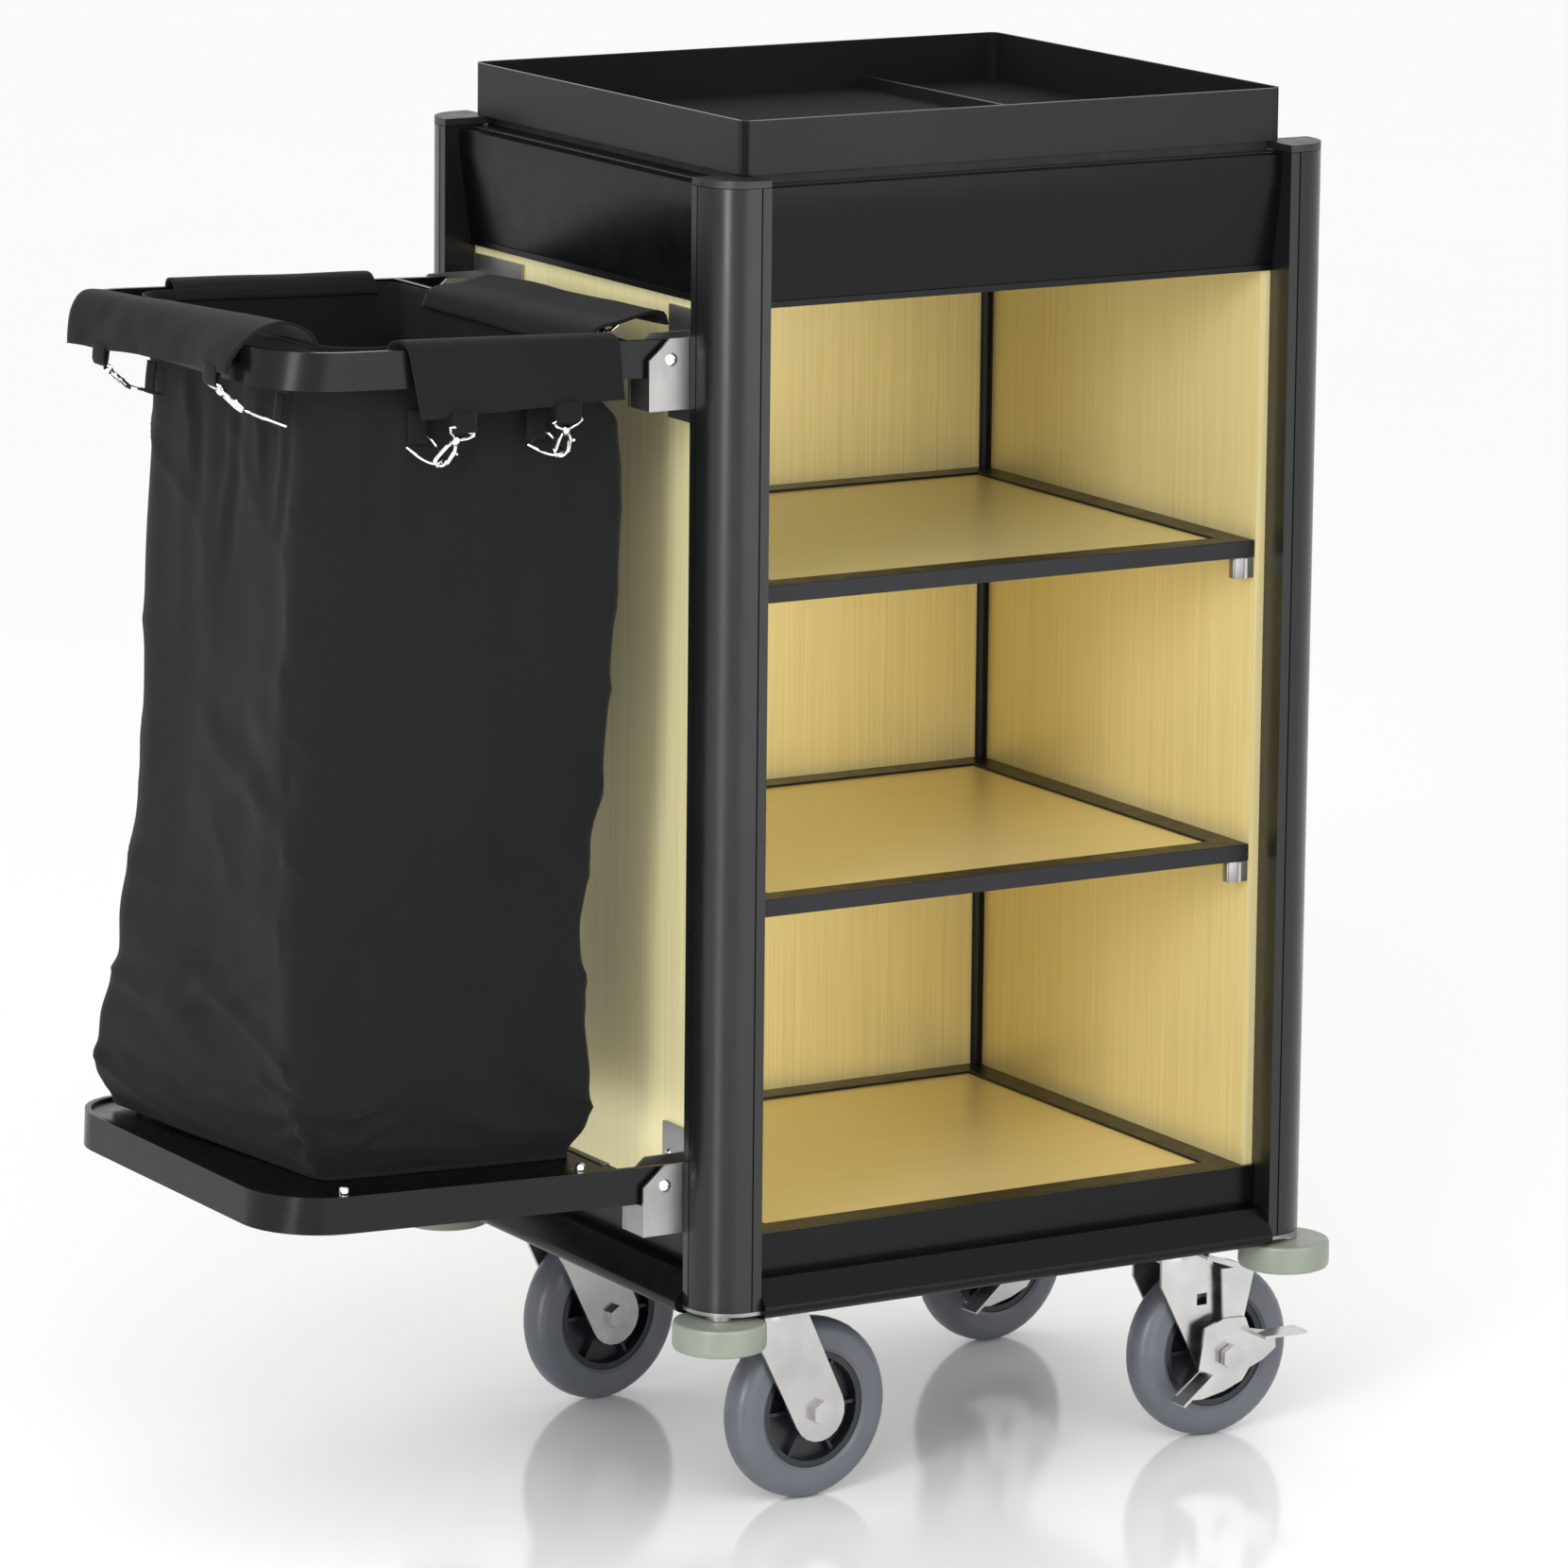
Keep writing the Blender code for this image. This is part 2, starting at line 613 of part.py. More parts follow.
def build_bag_frame(cart):
    pivot = empty("bag_frame_pivot", (-PIVOT_X, 0, BAG_PIVOT_Z), cart, (0, RACK_TILT, 0))
    x = PIVOT_X - CROSSBAR_X
    half = BAR_HEIGHT / 2
    reach = RACK_Y - BAR_THICK + 0.001
    crossbar = block((x - BAR_THICK / 2, -reach, -half), (x + BAR_THICK / 2, reach, half))
    part("bag_frame", u_frame_mesh([crossbar]), "black_sheet", pivot)
    build_bag(empty("bag_plumb", (0, 0, 0), pivot, (0, -RACK_TILT, 0)))


def build_bag(plumb):
    """Fabric bag: rings lofted from the middle of its floor up to its mouth, with a thin wall."""
    left = BAR_THICK + BAG_CLEAR - PIVOT_X - RACK_LENGTH
    right = -BAG_INNER_X
    half = RACK_Y - BAR_THICK - BAG_CLEAR
    big = RACK_CORNER - BAR_THICK - BAG_CLEAR
    smallest = 0.010
    rings = []
    for share in (4.5, 2.25, 1.0):
        rings.append((BAG_ROUNDING * share, BAG_BOTTOM))
    for step in (1, 2, 3):
        angle = radians(30 * step)
        rings.append((BAG_ROUNDING * (1 - sin(angle)), BAG_BOTTOM + BAG_ROUNDING * (1 - cos(angle))))
    wall_height = BAG_TOP - BAG_BOTTOM
    rings += [(0.0, BAG_BOTTOM + wall_height / 3), (0.0, BAG_BOTTOM + wall_height * 2 / 3), (0.0, BAG_TOP)]
    work = bmesh.new()
    loops = []
    for inset, z in rings:
        low, high = (left + inset, inset - half), (right - inset, half - inset)
        radii = (max(big - inset, smallest), max(BAG_INNER_CORNER - inset, smallest))
        outline = rounded_rectangle(low, high, radii, 6)
        loops.append([work.verts.new((x + PIVOT_X, y, z - BAG_PIVOT_Z)) for x, y in outline])
    work.faces.new(loops[0])
    for lower, upper in zip(loops, loops[1:]):
        for i in range(len(lower)):
            j = (i + 1) % len(lower)
            work.faces.new((lower[i], lower[j], upper[j], upper[i]))
    bmesh.ops.recalc_face_normals(work, faces=work.faces)
    mesh = bpy.data.meshes.new("bag")
    work.to_mesh(mesh)
    work.free()
    bag = part("bag", mesh, "black_fabric", plumb)
    wall = bag.modifiers.new("Solidify", "SOLIDIFY")
    wall.thickness = BAG_WALL
    wall.offset = -1.0
    wall.use_even_offset = True


def build_platform(cart):
    pivot = empty("platform_pivot", (-PIVOT_X, 0, PLATFORM_PIVOT_Z), cart, (0, RACK_TILT, 0))
    part("platform_frame", u_frame_mesh([]), "black_sheet", pivot)
    low = (BAR_THICK + GAP - RACK_LENGTH, BAR_THICK + GAP - RACK_Y)
    high = (PIVOT_X - BOARD_END_X, RACK_Y - BAR_THICK - GAP)
    outline = rounded_rectangle(low, high, (RACK_CORNER - BAR_THICK - GAP, 0.003), 8)
    top = BAR_HEIGHT / 2 - BOARD_SET
    part("platform_board", slab([outline], top - BOARD_THICK, top), "black_sheet", pivot)


# ---------------------------------------------------------------- running gear
def tyre_mesh():
    """Round-shouldered tyre about Z; its flats, not its corners, are at the wheel radius."""
    radius = WHEEL_RADIUS / cos(pi / TYRE_STEPS)
    centre = radius - TYRE_SHOULDER
    edge = TYRE_HALF - TYRE_SHOULDER
    profile = [(TYRE_INNER, -TYRE_HALF + 0.002), (TYRE_INNER + 0.003, -TYRE_HALF)]
    profile += arc((centre, -edge), TYRE_SHOULDER, -90, 0, 4)
    profile += arc((centre, edge), TYRE_SHOULDER, 0, 90, 4)
    profile += [(TYRE_INNER + 0.003, TYRE_HALF), (TYRE_INNER, TYRE_HALF - 0.002)]
    mesh = turned(profile, TYRE_STEPS)
    mesh.transform(Matrix.Rotation(pi / TYRE_STEPS, 4, "Z"))
    return mesh


def hub_mesh():
    """Hub about Z: boss, thin web, six ribs and rim, with a bore for the axle."""
    rim_outer = TYRE_INNER - GAP
    rim_inner = rim_outer - HUB_RIM_WALL
    draft = 0.001
    web = [(HUB_BOSS + draft, -HUB_WEB_HALF), (rim_inner - draft, -HUB_WEB_HALF)]
    lower = [(0, -HUB_HALF), (HUB_BOSS, -HUB_HALF)] + web
    lower += [(rim_inner, -HUB_RIM_HALF), (rim_outer, -HUB_RIM_HALF)]
    profile = lower + [(radius, -height) for radius, height in reversed(lower)]
    body = turned(profile, 32, closed=False)
    ribs = []
    for i in range(3):
        end = Vector((rim_inner + draft, HUB_RIB_THICK / 2, HUB_RIB_HALF))
        rib = block(-end, end)
        rib.transform(Matrix.Rotation(i * pi / 3, 4, "Z"))
        ribs.append(rib)
    ribbed = boolean(body, ribs, "UNION")
    bore = rod(AXLE_RADIUS + BORE_CLEARANCE, (0, 0, -HUB_HALF * 1.5), (0, 0, HUB_HALF * 1.5))
    return boolean(ribbed, [bore], "DIFFERENCE")


def cheek_outline():
    """Side plate of a fork in the XZ plane, about the swivel axis at floor level."""
    outline = [(CHEEK_BACK_X, CHEEK_TOP), (CHEEK_FRONT_X, CHEEK_TOP)]
    outline += arc((CASTER_TRAIL, WHEEL_RADIUS), CHEEK_END_RADIUS, 25, -155, 10)
    return outline + [(CHEEK_BACK_X, 0.138)]


def brake_strap():
    """Fixed strap of the brake: a strip from the axle up to a wide head, and a strut to the crown."""
    strip = [(-0.006, 0.0745), (0.027, 0.0735), (0.017, 0.031)]
    strip += arc((0, 0), 0.012, 30, -210, 8)
    strip += [(-0.004, 0.031)]
    strip = [(x + CASTER_TRAIL, z + WHEEL_RADIUS) for x, z in strip]
    strut = [(0.021, 0.1590), (0.021, 0.1615), (0.026, 0.1615), (0.060, 0.1490), (0.060, 0.1465)]
    strut += [(0.055, 0.1465)]
    return [upright_slab(strip, STRAP_OUTER - BRAKE_SHEET, STRAP_OUTER),
            upright_slab(strut, CHEEK_OUTER - 0.001, STRAP_OUTER - 0.0002)]


def fork_mesh(braked):
    """Fork with its axle bolt; a braked fork also has the fixed strap of the brake."""
    x, z = CASTER_TRAIL, WHEEL_RADIUS
    head_face = ROCKER_OUTER + 0.0007 if braked else CHEEK_OUTER - 0.0005
    half = CHEEK_OUTER - 0.0005
    crown_top = CROWN_BOTTOM + CROWN_THICK
    pieces = [upright_slab(cheek_outline(), CHEEK_INNER, CHEEK_OUTER)]
    pieces.append(upright_slab(cheek_outline(), -CHEEK_OUTER, -CHEEK_INNER))
    pieces.append(block((CHEEK_BACK_X, -half, CROWN_BOTTOM), (CHEEK_FRONT_X, half, crown_top)))
    pieces.append(rod(HEAD_RADIUS, (0, 0, CROWN_BOTTOM + 0.001), (0, 0, PLATE_BOTTOM - GAP), 32))
    pieces.append(rod(AXLE_RADIUS, (x, -head_face - 0.001, z), (x, half + 0.001, z)))
    pieces.append(rod(HEX_RADIUS, (x, -head_face - HEX_THICK, z), (x, -head_face, z), 6))
    pieces.append(rod(HEX_RADIUS, (x, half, z), (x, half + HEX_THICK, z), 6))
    if not braked:
        return boolean(pieces[0], pieces[1:], "UNION")
    pieces += brake_strap()
    pieces.append(rod(0.009, (x, 0.001 - STRAP_OUTER, z), (x, -half, z)))
    # small window through the outer cheek
    window_half = 0.005
    window_x, window_z = 0.0225, 0.123
    window = block((window_x - window_half, -0.025, window_z - window_half),
                   (window_x + window_half, -0.017, window_z + window_half))
    return boolean(boolean(pieces[0], pieces[1:], "UNION"), [window], "DIFFERENCE")


def rocker_mesh():
    """Brake rocker about the axle: a lobed plate with a pedal flange at each end."""
    outline = [(-0.024, 0.026), (-0.006, 0.032), (0.016, 0.031), (0.020, 0.021), (0.046, 0.0155)]
    outline += [(0.047, 0.001), (0.034, -0.008), (0.021, -0.013), (0.014, -0.023), (-0.004, -0.030)]
    outline += [(-0.026, -0.0345), (-0.052, -0.033), (-0.052, -0.027), (-0.030, -0.010)]
    plate = upright_slab(outline, ROCKER_INNER, ROCKER_OUTER)
    inside = -ROCKER_INNER - 0.0005
    right_pedal = block((0.024, -PEDAL_OUTER, 0.0150), (0.066, inside, 0.0175))
    left_pedal = block((0, -PEDAL_OUTER, 0.0005), (0.037, inside, 0.003))
    left_pedal.transform(Matrix.Rotation(-radians(218), 4, "Y"))
    left_pedal.transform(Matrix.Translation((-0.028, 0, -0.0085)))
    joined = boolean(plate, [right_pedal, left_pedal], "UNION")
    hole = rod(AXLE_RADIUS + BORE_CLEARANCE, (0, -0.06, 0), (0, 0.06, 0))
    return boolean(joined, [hole], "DIFFERENCE")


def build_casters(cart):
    tyre, hub = tyre_mesh(), hub_mesh()
    plain_fork, braked_fork = fork_mesh(False), fork_mesh(True)
    rocker = rocker_mesh()
    on_axle = (pi / 2, 0, 0)
    for name, (sx, sy) in CORNERS.items():
        turn = (0, 0, radians(CASTER_TURN[name]))
        swivel = empty(f"swivel_{name}", (sx * CASTER_X, sy * CASTER_Y, 0), cart, turn)
        fork = braked_fork if name in BRAKED else plain_fork
        part(f"fork_{name}", fork, "zinc", swivel)
        axle = empty(f"axle_{name}", (CASTER_TRAIL, 0, WHEEL_RADIUS), swivel)
        part(f"tyre_{name}", tyre, "grey_tyre", axle, rotation=on_axle)
        part(f"hub_{name}", hub, "dark_hub", axle, rotation=on_axle)
        if name in BRAKED:
            part(f"brake_rocker_{name}", rocker, "zinc", axle)


def build_rollers(cart):
    half = ROLLER_HEIGHT / 2
    rim = 0.004
    profile = [(ROLLER_BORE, -half), (ROLLER_RADIUS - rim, -half)]
    profile += arc((ROLLER_RADIUS - rim, rim - half), rim, -90, 0, 2)[1:]
    profile += arc((ROLLER_RADIUS - rim, half - rim), rim, 0, 90, 2)
    profile += [(ROLLER_BORE, half)]
    mesh = turned(profile, 36)
    for name, (sx, sy) in CORNERS.items():
        place = (sx * (POST_X + ROLLER_OFFSET), sy * (POST_Y + ROLLER_OFFSET), ROLLER_TOP - half)
        part(f"bumper_roller_{name}", mesh, "bumper_rubber", cart, place)


# ---------------------------------------------------------------- build
clear_scene()
parts = new_collection("housekeeping_cart")
cutters = new_collection("cutters")
materials = make_materials()

cart_origin = empty("cart_origin", (CART_X, 0, 0))
build_posts(cart_origin)
build_panels(cart_origin)
build_shelves(cart_origin)
build_chassis(cart_origin)
build_tray(cart_origin)
build_sides(cart_origin)
build_brackets(cart_origin)
build_bag_frame(cart_origin)
build_platform(cart_origin)
build_casters(cart_origin)
build_rollers(cart_origin)
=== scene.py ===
"""Looks of the housekeeping cart: finishes, cloth bag, snap hooks, screws, floor, light and camera.

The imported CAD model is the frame: the pieces are placed from its nodes and joints. Metres, +Z up.
"""
import json
from math import atan2, cos, exp, pi, radians, sin, tau

import bmesh
import bpy
from mathutils import Matrix, Vector, noise


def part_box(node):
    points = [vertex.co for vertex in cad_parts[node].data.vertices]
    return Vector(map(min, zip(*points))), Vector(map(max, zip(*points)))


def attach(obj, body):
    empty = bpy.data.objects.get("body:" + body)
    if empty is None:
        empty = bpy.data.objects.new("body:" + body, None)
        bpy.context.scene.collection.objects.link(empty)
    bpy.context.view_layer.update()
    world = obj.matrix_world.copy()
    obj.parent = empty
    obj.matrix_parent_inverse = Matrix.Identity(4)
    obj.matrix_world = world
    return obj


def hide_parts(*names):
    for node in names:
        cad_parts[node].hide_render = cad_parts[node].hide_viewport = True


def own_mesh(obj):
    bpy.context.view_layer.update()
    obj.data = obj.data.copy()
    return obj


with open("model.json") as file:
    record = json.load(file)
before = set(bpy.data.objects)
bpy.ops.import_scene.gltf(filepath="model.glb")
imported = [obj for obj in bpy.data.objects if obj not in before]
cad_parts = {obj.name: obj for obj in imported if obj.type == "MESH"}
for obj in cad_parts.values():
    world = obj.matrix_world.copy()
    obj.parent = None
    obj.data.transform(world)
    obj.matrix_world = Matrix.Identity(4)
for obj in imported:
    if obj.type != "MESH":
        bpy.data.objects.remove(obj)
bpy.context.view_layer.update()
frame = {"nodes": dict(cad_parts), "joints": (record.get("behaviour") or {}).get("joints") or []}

# -------- places read from the frame
JOINTS = {joint["name"]: joint for joint in frame["joints"]}
RACK_PIVOT = Vector(JOINTS["bag_rack_fold"]["pos_m"])
PLATFORM_PIVOT = Vector(JOINTS["platform_fold"]["pos_m"])
FRAME_LOW, FRAME_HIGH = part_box("bag_frame")
BAG_LOW, BAG_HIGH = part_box("bag")
BOARD_LOW, BOARD_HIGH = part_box("platform_board")

RACK_TILT = radians(1.8)  # both frames rest a little above level
BAR_HALF = 0.015  # half the height of the rack's flat bar
BAR_THICK = 0.005
CLOTH = 0.0012  # thickness of the bag's cloth
FLAP_CLOTH = 0.0022  # thickness of a flap
WEBBING = 0.0009  # thickness of the tabs and the ring straps
TO_RACK = Matrix.Translation(RACK_PIVOT) @ Matrix.Rotation(RACK_TILT, 4, "Y")
TO_PLATFORM = Matrix.Translation(PLATFORM_PIVOT) @ Matrix.Rotation(RACK_TILT, 4, "Y")
RACK_REACH = (FRAME_LOW.x - RACK_PIVOT.x + BAR_HALF * sin(RACK_TILT)) / cos(RACK_TILT)
RACK_SIDE = FRAME_HIGH.y
CROSSBAR = -0.036  # middle of the crossbar, from the rack's pivot
BOARD_END = -0.0315  # inner end of the platform's board, from its pivot
BOARD_TOP = 0.012  # the board's top face over its pivot


# -------- finishes
class Finish:
    """A material under construction: a Principled shader with procedural colour, roughness and bump."""

    def __init__(self, name, colour, roughness, metallic=0.0, **sockets):
        self.material = bpy.data.materials.new(name)
        self.material.use_nodes = True
        self.tree = self.material.node_tree
        self.shader = self.tree.nodes["Principled BSDF"]
        self.shader.inputs["Base Color"].default_value = (*colour, 1.0)
        self.shader.inputs["Roughness"].default_value = roughness
        self.shader.inputs["Metallic"].default_value = metallic
        for socket, value in sockets.items():
            self.shader.inputs[socket.replace("_", " ").title().replace("Ior", "IOR")].default_value = value
        self.colour = colour
        self.roughness = roughness
        self.material.diffuse_color = (*colour, 1.0)
        self.normal = None

    def node(self, kind, **settings):
        made = self.tree.nodes.new(kind)
        for key, value in settings.items():
            setattr(made, key, value)
        return made

    def join(self, source, target):
        self.tree.links.new(source, target)

    def place(self, stretch):
        """Coordinates fixed to the piece, in metres, times a factor on each axis."""
        coordinates = self.node("ShaderNodeTexCoord")
        scaled = self.node("ShaderNodeVectorMath", operation="MULTIPLY")
        scaled.inputs[1].default_value = stretch
        self.join(coordinates.outputs["Object"], scaled.inputs[0])
        return scaled.outputs[0]

    def grain(self, stretch, detail):
        """Noise from 0 to 1, with a frequency per metre on each axis."""
        texture = self.node("ShaderNodeTexNoise")
        texture.inputs["Scale"].default_value = 1.0
        texture.inputs["Detail"].default_value = detail
        self.join(self.place(stretch), texture.inputs["Vector"])
        return texture.outputs["Fac"]

    def spread(self, value, low, high):
        """Noise rescaled to run from low to high."""
        stretched = self.node("ShaderNodeMapRange")
        stretched.inputs["From Min"].default_value = 0.3
        stretched.inputs["From Max"].default_value = 0.7
        stretched.inputs["To Min"].default_value = low
        stretched.inputs["To Max"].default_value = high
        self.join(value, stretched.inputs["Value"])
        return stretched.outputs["Result"]

    def vary_colour(self, value, dark, light):
        """Base colour between two shades of itself."""
        ramp = self.node("ShaderNodeValToRGB")
        ramp.color_ramp.elements[0].position = 0.3
        ramp.color_ramp.elements[1].position = 0.7
        ramp.color_ramp.elements[0].color = (*[min(1.0, c * dark) for c in self.colour], 1.0)
        ramp.color_ramp.elements[1].color = (*[min(1.0, c * light) for c in self.colour], 1.0)
        self.join(value, ramp.inputs["Fac"])
        self.join(ramp.outputs["Color"], self.shader.inputs["Base Color"])

    def vary_roughness(self, value, swing):
        """Roughness from swing below its own value to swing above it."""
        rough = self.spread(value, self.roughness - swing, self.roughness + swing)
        self.join(rough, self.shader.inputs["Roughness"])

    def bump(self, value, distance, strength=1.0):
        """Relief of that depth in metres; a second call adds to the first."""
        relief = self.node("ShaderNodeBump")
        relief.inputs["Strength"].default_value = strength
        relief.inputs["Distance"].default_value = distance
        self.join(value, relief.inputs["Height"])
        if self.normal is not None:
            self.join(self.normal, relief.inputs["Normal"])
        self.normal = relief.outputs["Normal"]
        self.join(self.normal, self.shader.inputs["Normal"])

    def maths(self, operation, first, second=0.0):
        """Output of a maths node; a value is a number or a node's output."""
        made = self.node("ShaderNodeMath", operation=operation)
        for value, socket in ((first, made.inputs[0]), (second, made.inputs[1])):
            if isinstance(value, (int, float)):
                socket.default_value = value
            else:
                self.join(value, socket)
        return made.outputs[0]


def black_metal(name, colour, roughness, specular=0.5, coat=0.0, texture=0.00002):
    """Fine satin coat on metal, with slight cloudiness and rub marks."""
    made = Finish(name, colour, roughness, 0.0, specular_ior_level=specular, coat_weight=coat)
    made.shader.inputs["Coat Roughness"].default_value = 0.22
    made.vary_colour(made.grain((9, 9, 6), 4), 0.8, 1.2)
    made.vary_roughness(made.grain((60, 60, 25), 5), 0.05)
    made.bump(made.grain((1400, 1400, 1400), 2), texture)
    return made.material


def tray_metal(name):
    """Satin black outside; dull inside, and darker there as painted shade; and a slightly paler rim, a
    painted highlight.
    """
    outer_face = 0.4972  # where the outer faces lie, as a share of the tray's width
    rim_level = 0.985  # where the rim starts, as a share of its height
    made = Finish(name, (0.0055, 0.006, 0.006), 0.36, 0.0, specular_ior_level=0.16)
    coordinates = made.node("ShaderNodeTexCoord")
    split = made.node("ShaderNodeSeparateXYZ")
    made.join(coordinates.outputs["Generated"], split.inputs[0])
    reach = [made.maths("ABSOLUTE", made.maths("SUBTRACT", split.outputs[axis], 0.5)) for axis in (0, 1)]
    outside = made.maths("GREATER_THAN", made.maths("MAXIMUM", *reach), outer_face)
    rim = made.maths("GREATER_THAN", split.outputs[2], rim_level)
    cloud = made.maths("MULTIPLY", made.grain((9, 9, 6), 4), 0.25)
    # Painted shade and painted highlight: the inside gets a darker colour than the outside, and the rim a
    # paler one.
    shade = made.maths("ADD", made.maths("MULTIPLY", outside, 0.4), made.maths("MULTIPLY", rim, 0.5))
    shade = made.maths("ADD", shade, cloud)
    ramp = made.node("ShaderNodeValToRGB")
    ramp.color_ramp.elements[0].color = (0.0006, 0.0008, 0.0007, 1)
    ramp.color_ramp.elements[1].color = (0.045, 0.047, 0.047, 1)
    middle = ramp.color_ramp.elements.new(0.6)
    middle.color = (0.016, 0.0172, 0.017, 1)
    made.join(shade, ramp.inputs["Fac"])
    made.join(ramp.outputs["Color"], made.shader.inputs["Base Color"])
    rough = made.maths("SUBTRACT", 0.8, made.maths("MULTIPLY", outside, 0.44))
    rough = made.maths("SUBTRACT", rough, made.maths("MULTIPLY", rim, 0.25))
    made.join(rough, made.shader.inputs["Roughness"])
    made.bump(made.grain((1400, 1400, 1400), 2), 0.00002)
    return made.material


def gold_laminate(name, stretch, colour=(0.86, 0.735, 0.365), metallic=0.4):
    """Brushed gold sheet; stretch is the grain's frequency on each axis."""
    made = Finish(name, colour, 0.36, metallic, specular_ior_level=0.5)
    streak = made.grain(stretch, 4)
    made.vary_colour(streak, 0.91, 1.07)
    made.vary_roughness(streak, 0.07)
    made.bump(streak, 0.00006, 0.6)
    made.bump(made.grain((2.2, 2.2, 2.2), 1), 0.004, 0.25)
    return made.material


def brushed_steel(name, colour, roughness, stretch, swing=0.06):
    """Bare metal with fine streaks; stretch is their frequency on each axis."""
    made = Finish(name, colour, roughness, 1.0)
    streak = made.grain(stretch, 4)
    made.vary_colour(made.grain((24, 24, 24), 4), 0.86, 1.06)
    made.vary_roughness(streak, swing)
    made.bump(streak, 0.00003, 0.5)
    return made.material


def chrome(name):
    """Bright plating with a faint unevenness."""
    made = Finish(name, (0.86, 0.86, 0.87), 0.1, 1.0)
    made.vary_roughness(made.grain((300, 300, 300), 3), 0.03)
    made.bump(made.grain((180, 180, 180), 2), 0.00004, 0.4)
    return made.material


def moulded(name, colour, roughness, scuff=0.15, texture=0.00004):
    """Moulded rubber or plastic: fine grain, and broad patches where it is rubbed."""
    made = Finish(name, colour, roughness)
    made.vary_colour(made.grain((35, 35, 35), 5), 1.0 - scuff, 1.0 + scuff)
    made.vary_roughness(made.grain((90, 90, 90), 4), 0.07)
    made.bump(made.grain((1100, 1100, 1100), 2), texture)
    return made.material


def cloth(name, colour, rows):
    """Woven cloth. Its own map is in metres; rows are distances from the sewn edge that carry stitching."""
    made = Finish(name, colour, 0.8, 0.0, specular_ior_level=0.16)
    made.shader.inputs["Sheen Weight"].default_value = 0.05
    made.shader.inputs["Sheen Roughness"].default_value = 0.5
    split = made.node("ShaderNodeSeparateXYZ")
    coordinates = made.node("ShaderNodeTexCoord")
    made.join(coordinates.outputs["UV"], split.inputs[0])
    across, along = split.outputs[0], split.outputs[1]
    thread = tau / 0.0011  # a thread every 1.1 mm
    stitch = tau / 0.0036  # a stitch every 3.6 mm
    seam_half, groove_half = 0.00045, 0.0011
    warp = made.maths("SINE", made.maths("MULTIPLY", across, thread))
    weft = made.maths("SINE", made.maths("MULTIPLY", along, thread))
    weave = made.maths("MULTIPLY", warp, weft)
    fuzz = made.grain((500, 500, 500), 4)
    made.vary_colour(made.grain((16, 16, 7), 5), 0.86, 1.16)
    made.vary_roughness(fuzz, 0.06)
    made.bump(weave, 0.00008, 0.7)
    made.bump(fuzz, 0.00006, 0.5)
    seam = None
    dash = made.maths("GREATER_THAN", made.maths("SINE", made.maths("MULTIPLY", across, stitch)), -0.55)
    for row in rows:
        offset = made.maths("ABSOLUTE", made.maths("SUBTRACT", along, row))
        line = made.maths("MULTIPLY", made.maths("LESS_THAN", offset, seam_half), dash)
        groove = made.maths("MULTIPLY", made.maths("LESS_THAN", offset, groove_half), -0.5)
        line = made.maths("ADD", line, groove)
        seam = line if seam is None else made.maths("ADD", seam, line)
    if seam is not None:
        made.bump(seam, 0.0005, 0.8)
    return made.material


def floor_finish():
    """Pale, glossy studio floor."""
    made = Finish("studio_floor", (0.9, 0.9, 0.9), 0.12)
    made.vary_roughness(made.grain((3, 3, 3), 2), 0.02)
    return made.material


FINISHES = {
    "black_anodised": black_metal("anodised_satin", (0.0014, 0.0019, 0.0018), 0.3, 0.1, 0.16),
    # The posts' satin black is a paler copy of the anodised black, which paints light on them.
    "post": black_metal("post_satin_painted_light", (0.006, 0.0068, 0.0066), 0.3, 0.3, 0.25),
    "black_plastic": moulded("black_moulding", (0.008, 0.009, 0.009), 0.42),
    "black_trim": black_metal("trim_satin", (0.0065, 0.007, 0.0085), 0.38, 0.3),
    "gold_laminate": gold_laminate("gold_upright_grain", (620, 620, 5)),
    # A darker copy of the gold laminate for the shelves: painted shade.
    "gold_level": gold_laminate("gold_level_painted_shade_grain", (5, 620, 620), (0.8, 0.68, 0.325)),
    # A paler, less metallic copy of the gold laminate for the left panel: painted light.
    "gold_outer": gold_laminate("gold_outer_painted_light_grain", (620, 620, 5), (0.98, 0.86, 0.47), 0.2),
    "stainless": brushed_steel("bracket_steel", (0.35, 0.345, 0.335), 0.42, (900, 900, 40)),
    "black_board": moulded("black_board_face", (0.006, 0.006, 0.006), 0.6),
    "black_sheet": black_metal("coated_bar", (0.0032, 0.0038, 0.0039), 0.28, 0.14, 0.16),
    "zinc": brushed_steel("zinc_plate", (0.56, 0.55, 0.54), 0.24, (70, 70, 70), 0.05),
    "grey_tyre": moulded("tyre_rubber", (0.098, 0.108, 0.126), 0.36, 0.08),
    "dark_hub": moulded("hub_moulding", (0.009, 0.0105, 0.014), 0.36),
    "bumper_rubber": moulded("bumper_moulding", (0.215, 0.24, 0.197), 0.36, 0.06),
    "cloth_bag": cloth("bag_weave", (0.005, 0.0058, 0.0056), (0.052, 0.059)),
    "cloth_flap": cloth("flap_weave", (0.0046, 0.0054, 0.0052), (0.006,)),
    "webbing": cloth("webbing_weave", (0.004, 0.0046, 0.0045), ()),
    "chrome": chrome("chrome_plate"),
    "tray": tray_metal("tray_satin"),
}
LEVEL_GRAIN = ("upper_shelf_board", "lower_shelf_board", "bottom_shelf_board")


# Finish, slot and body of the small pieces on the rack.
SEWN_ON = ("webbing", "black_fabric", "bag_rack")
HOOK_METAL = ("chrome", "zinc", "bag_rack")


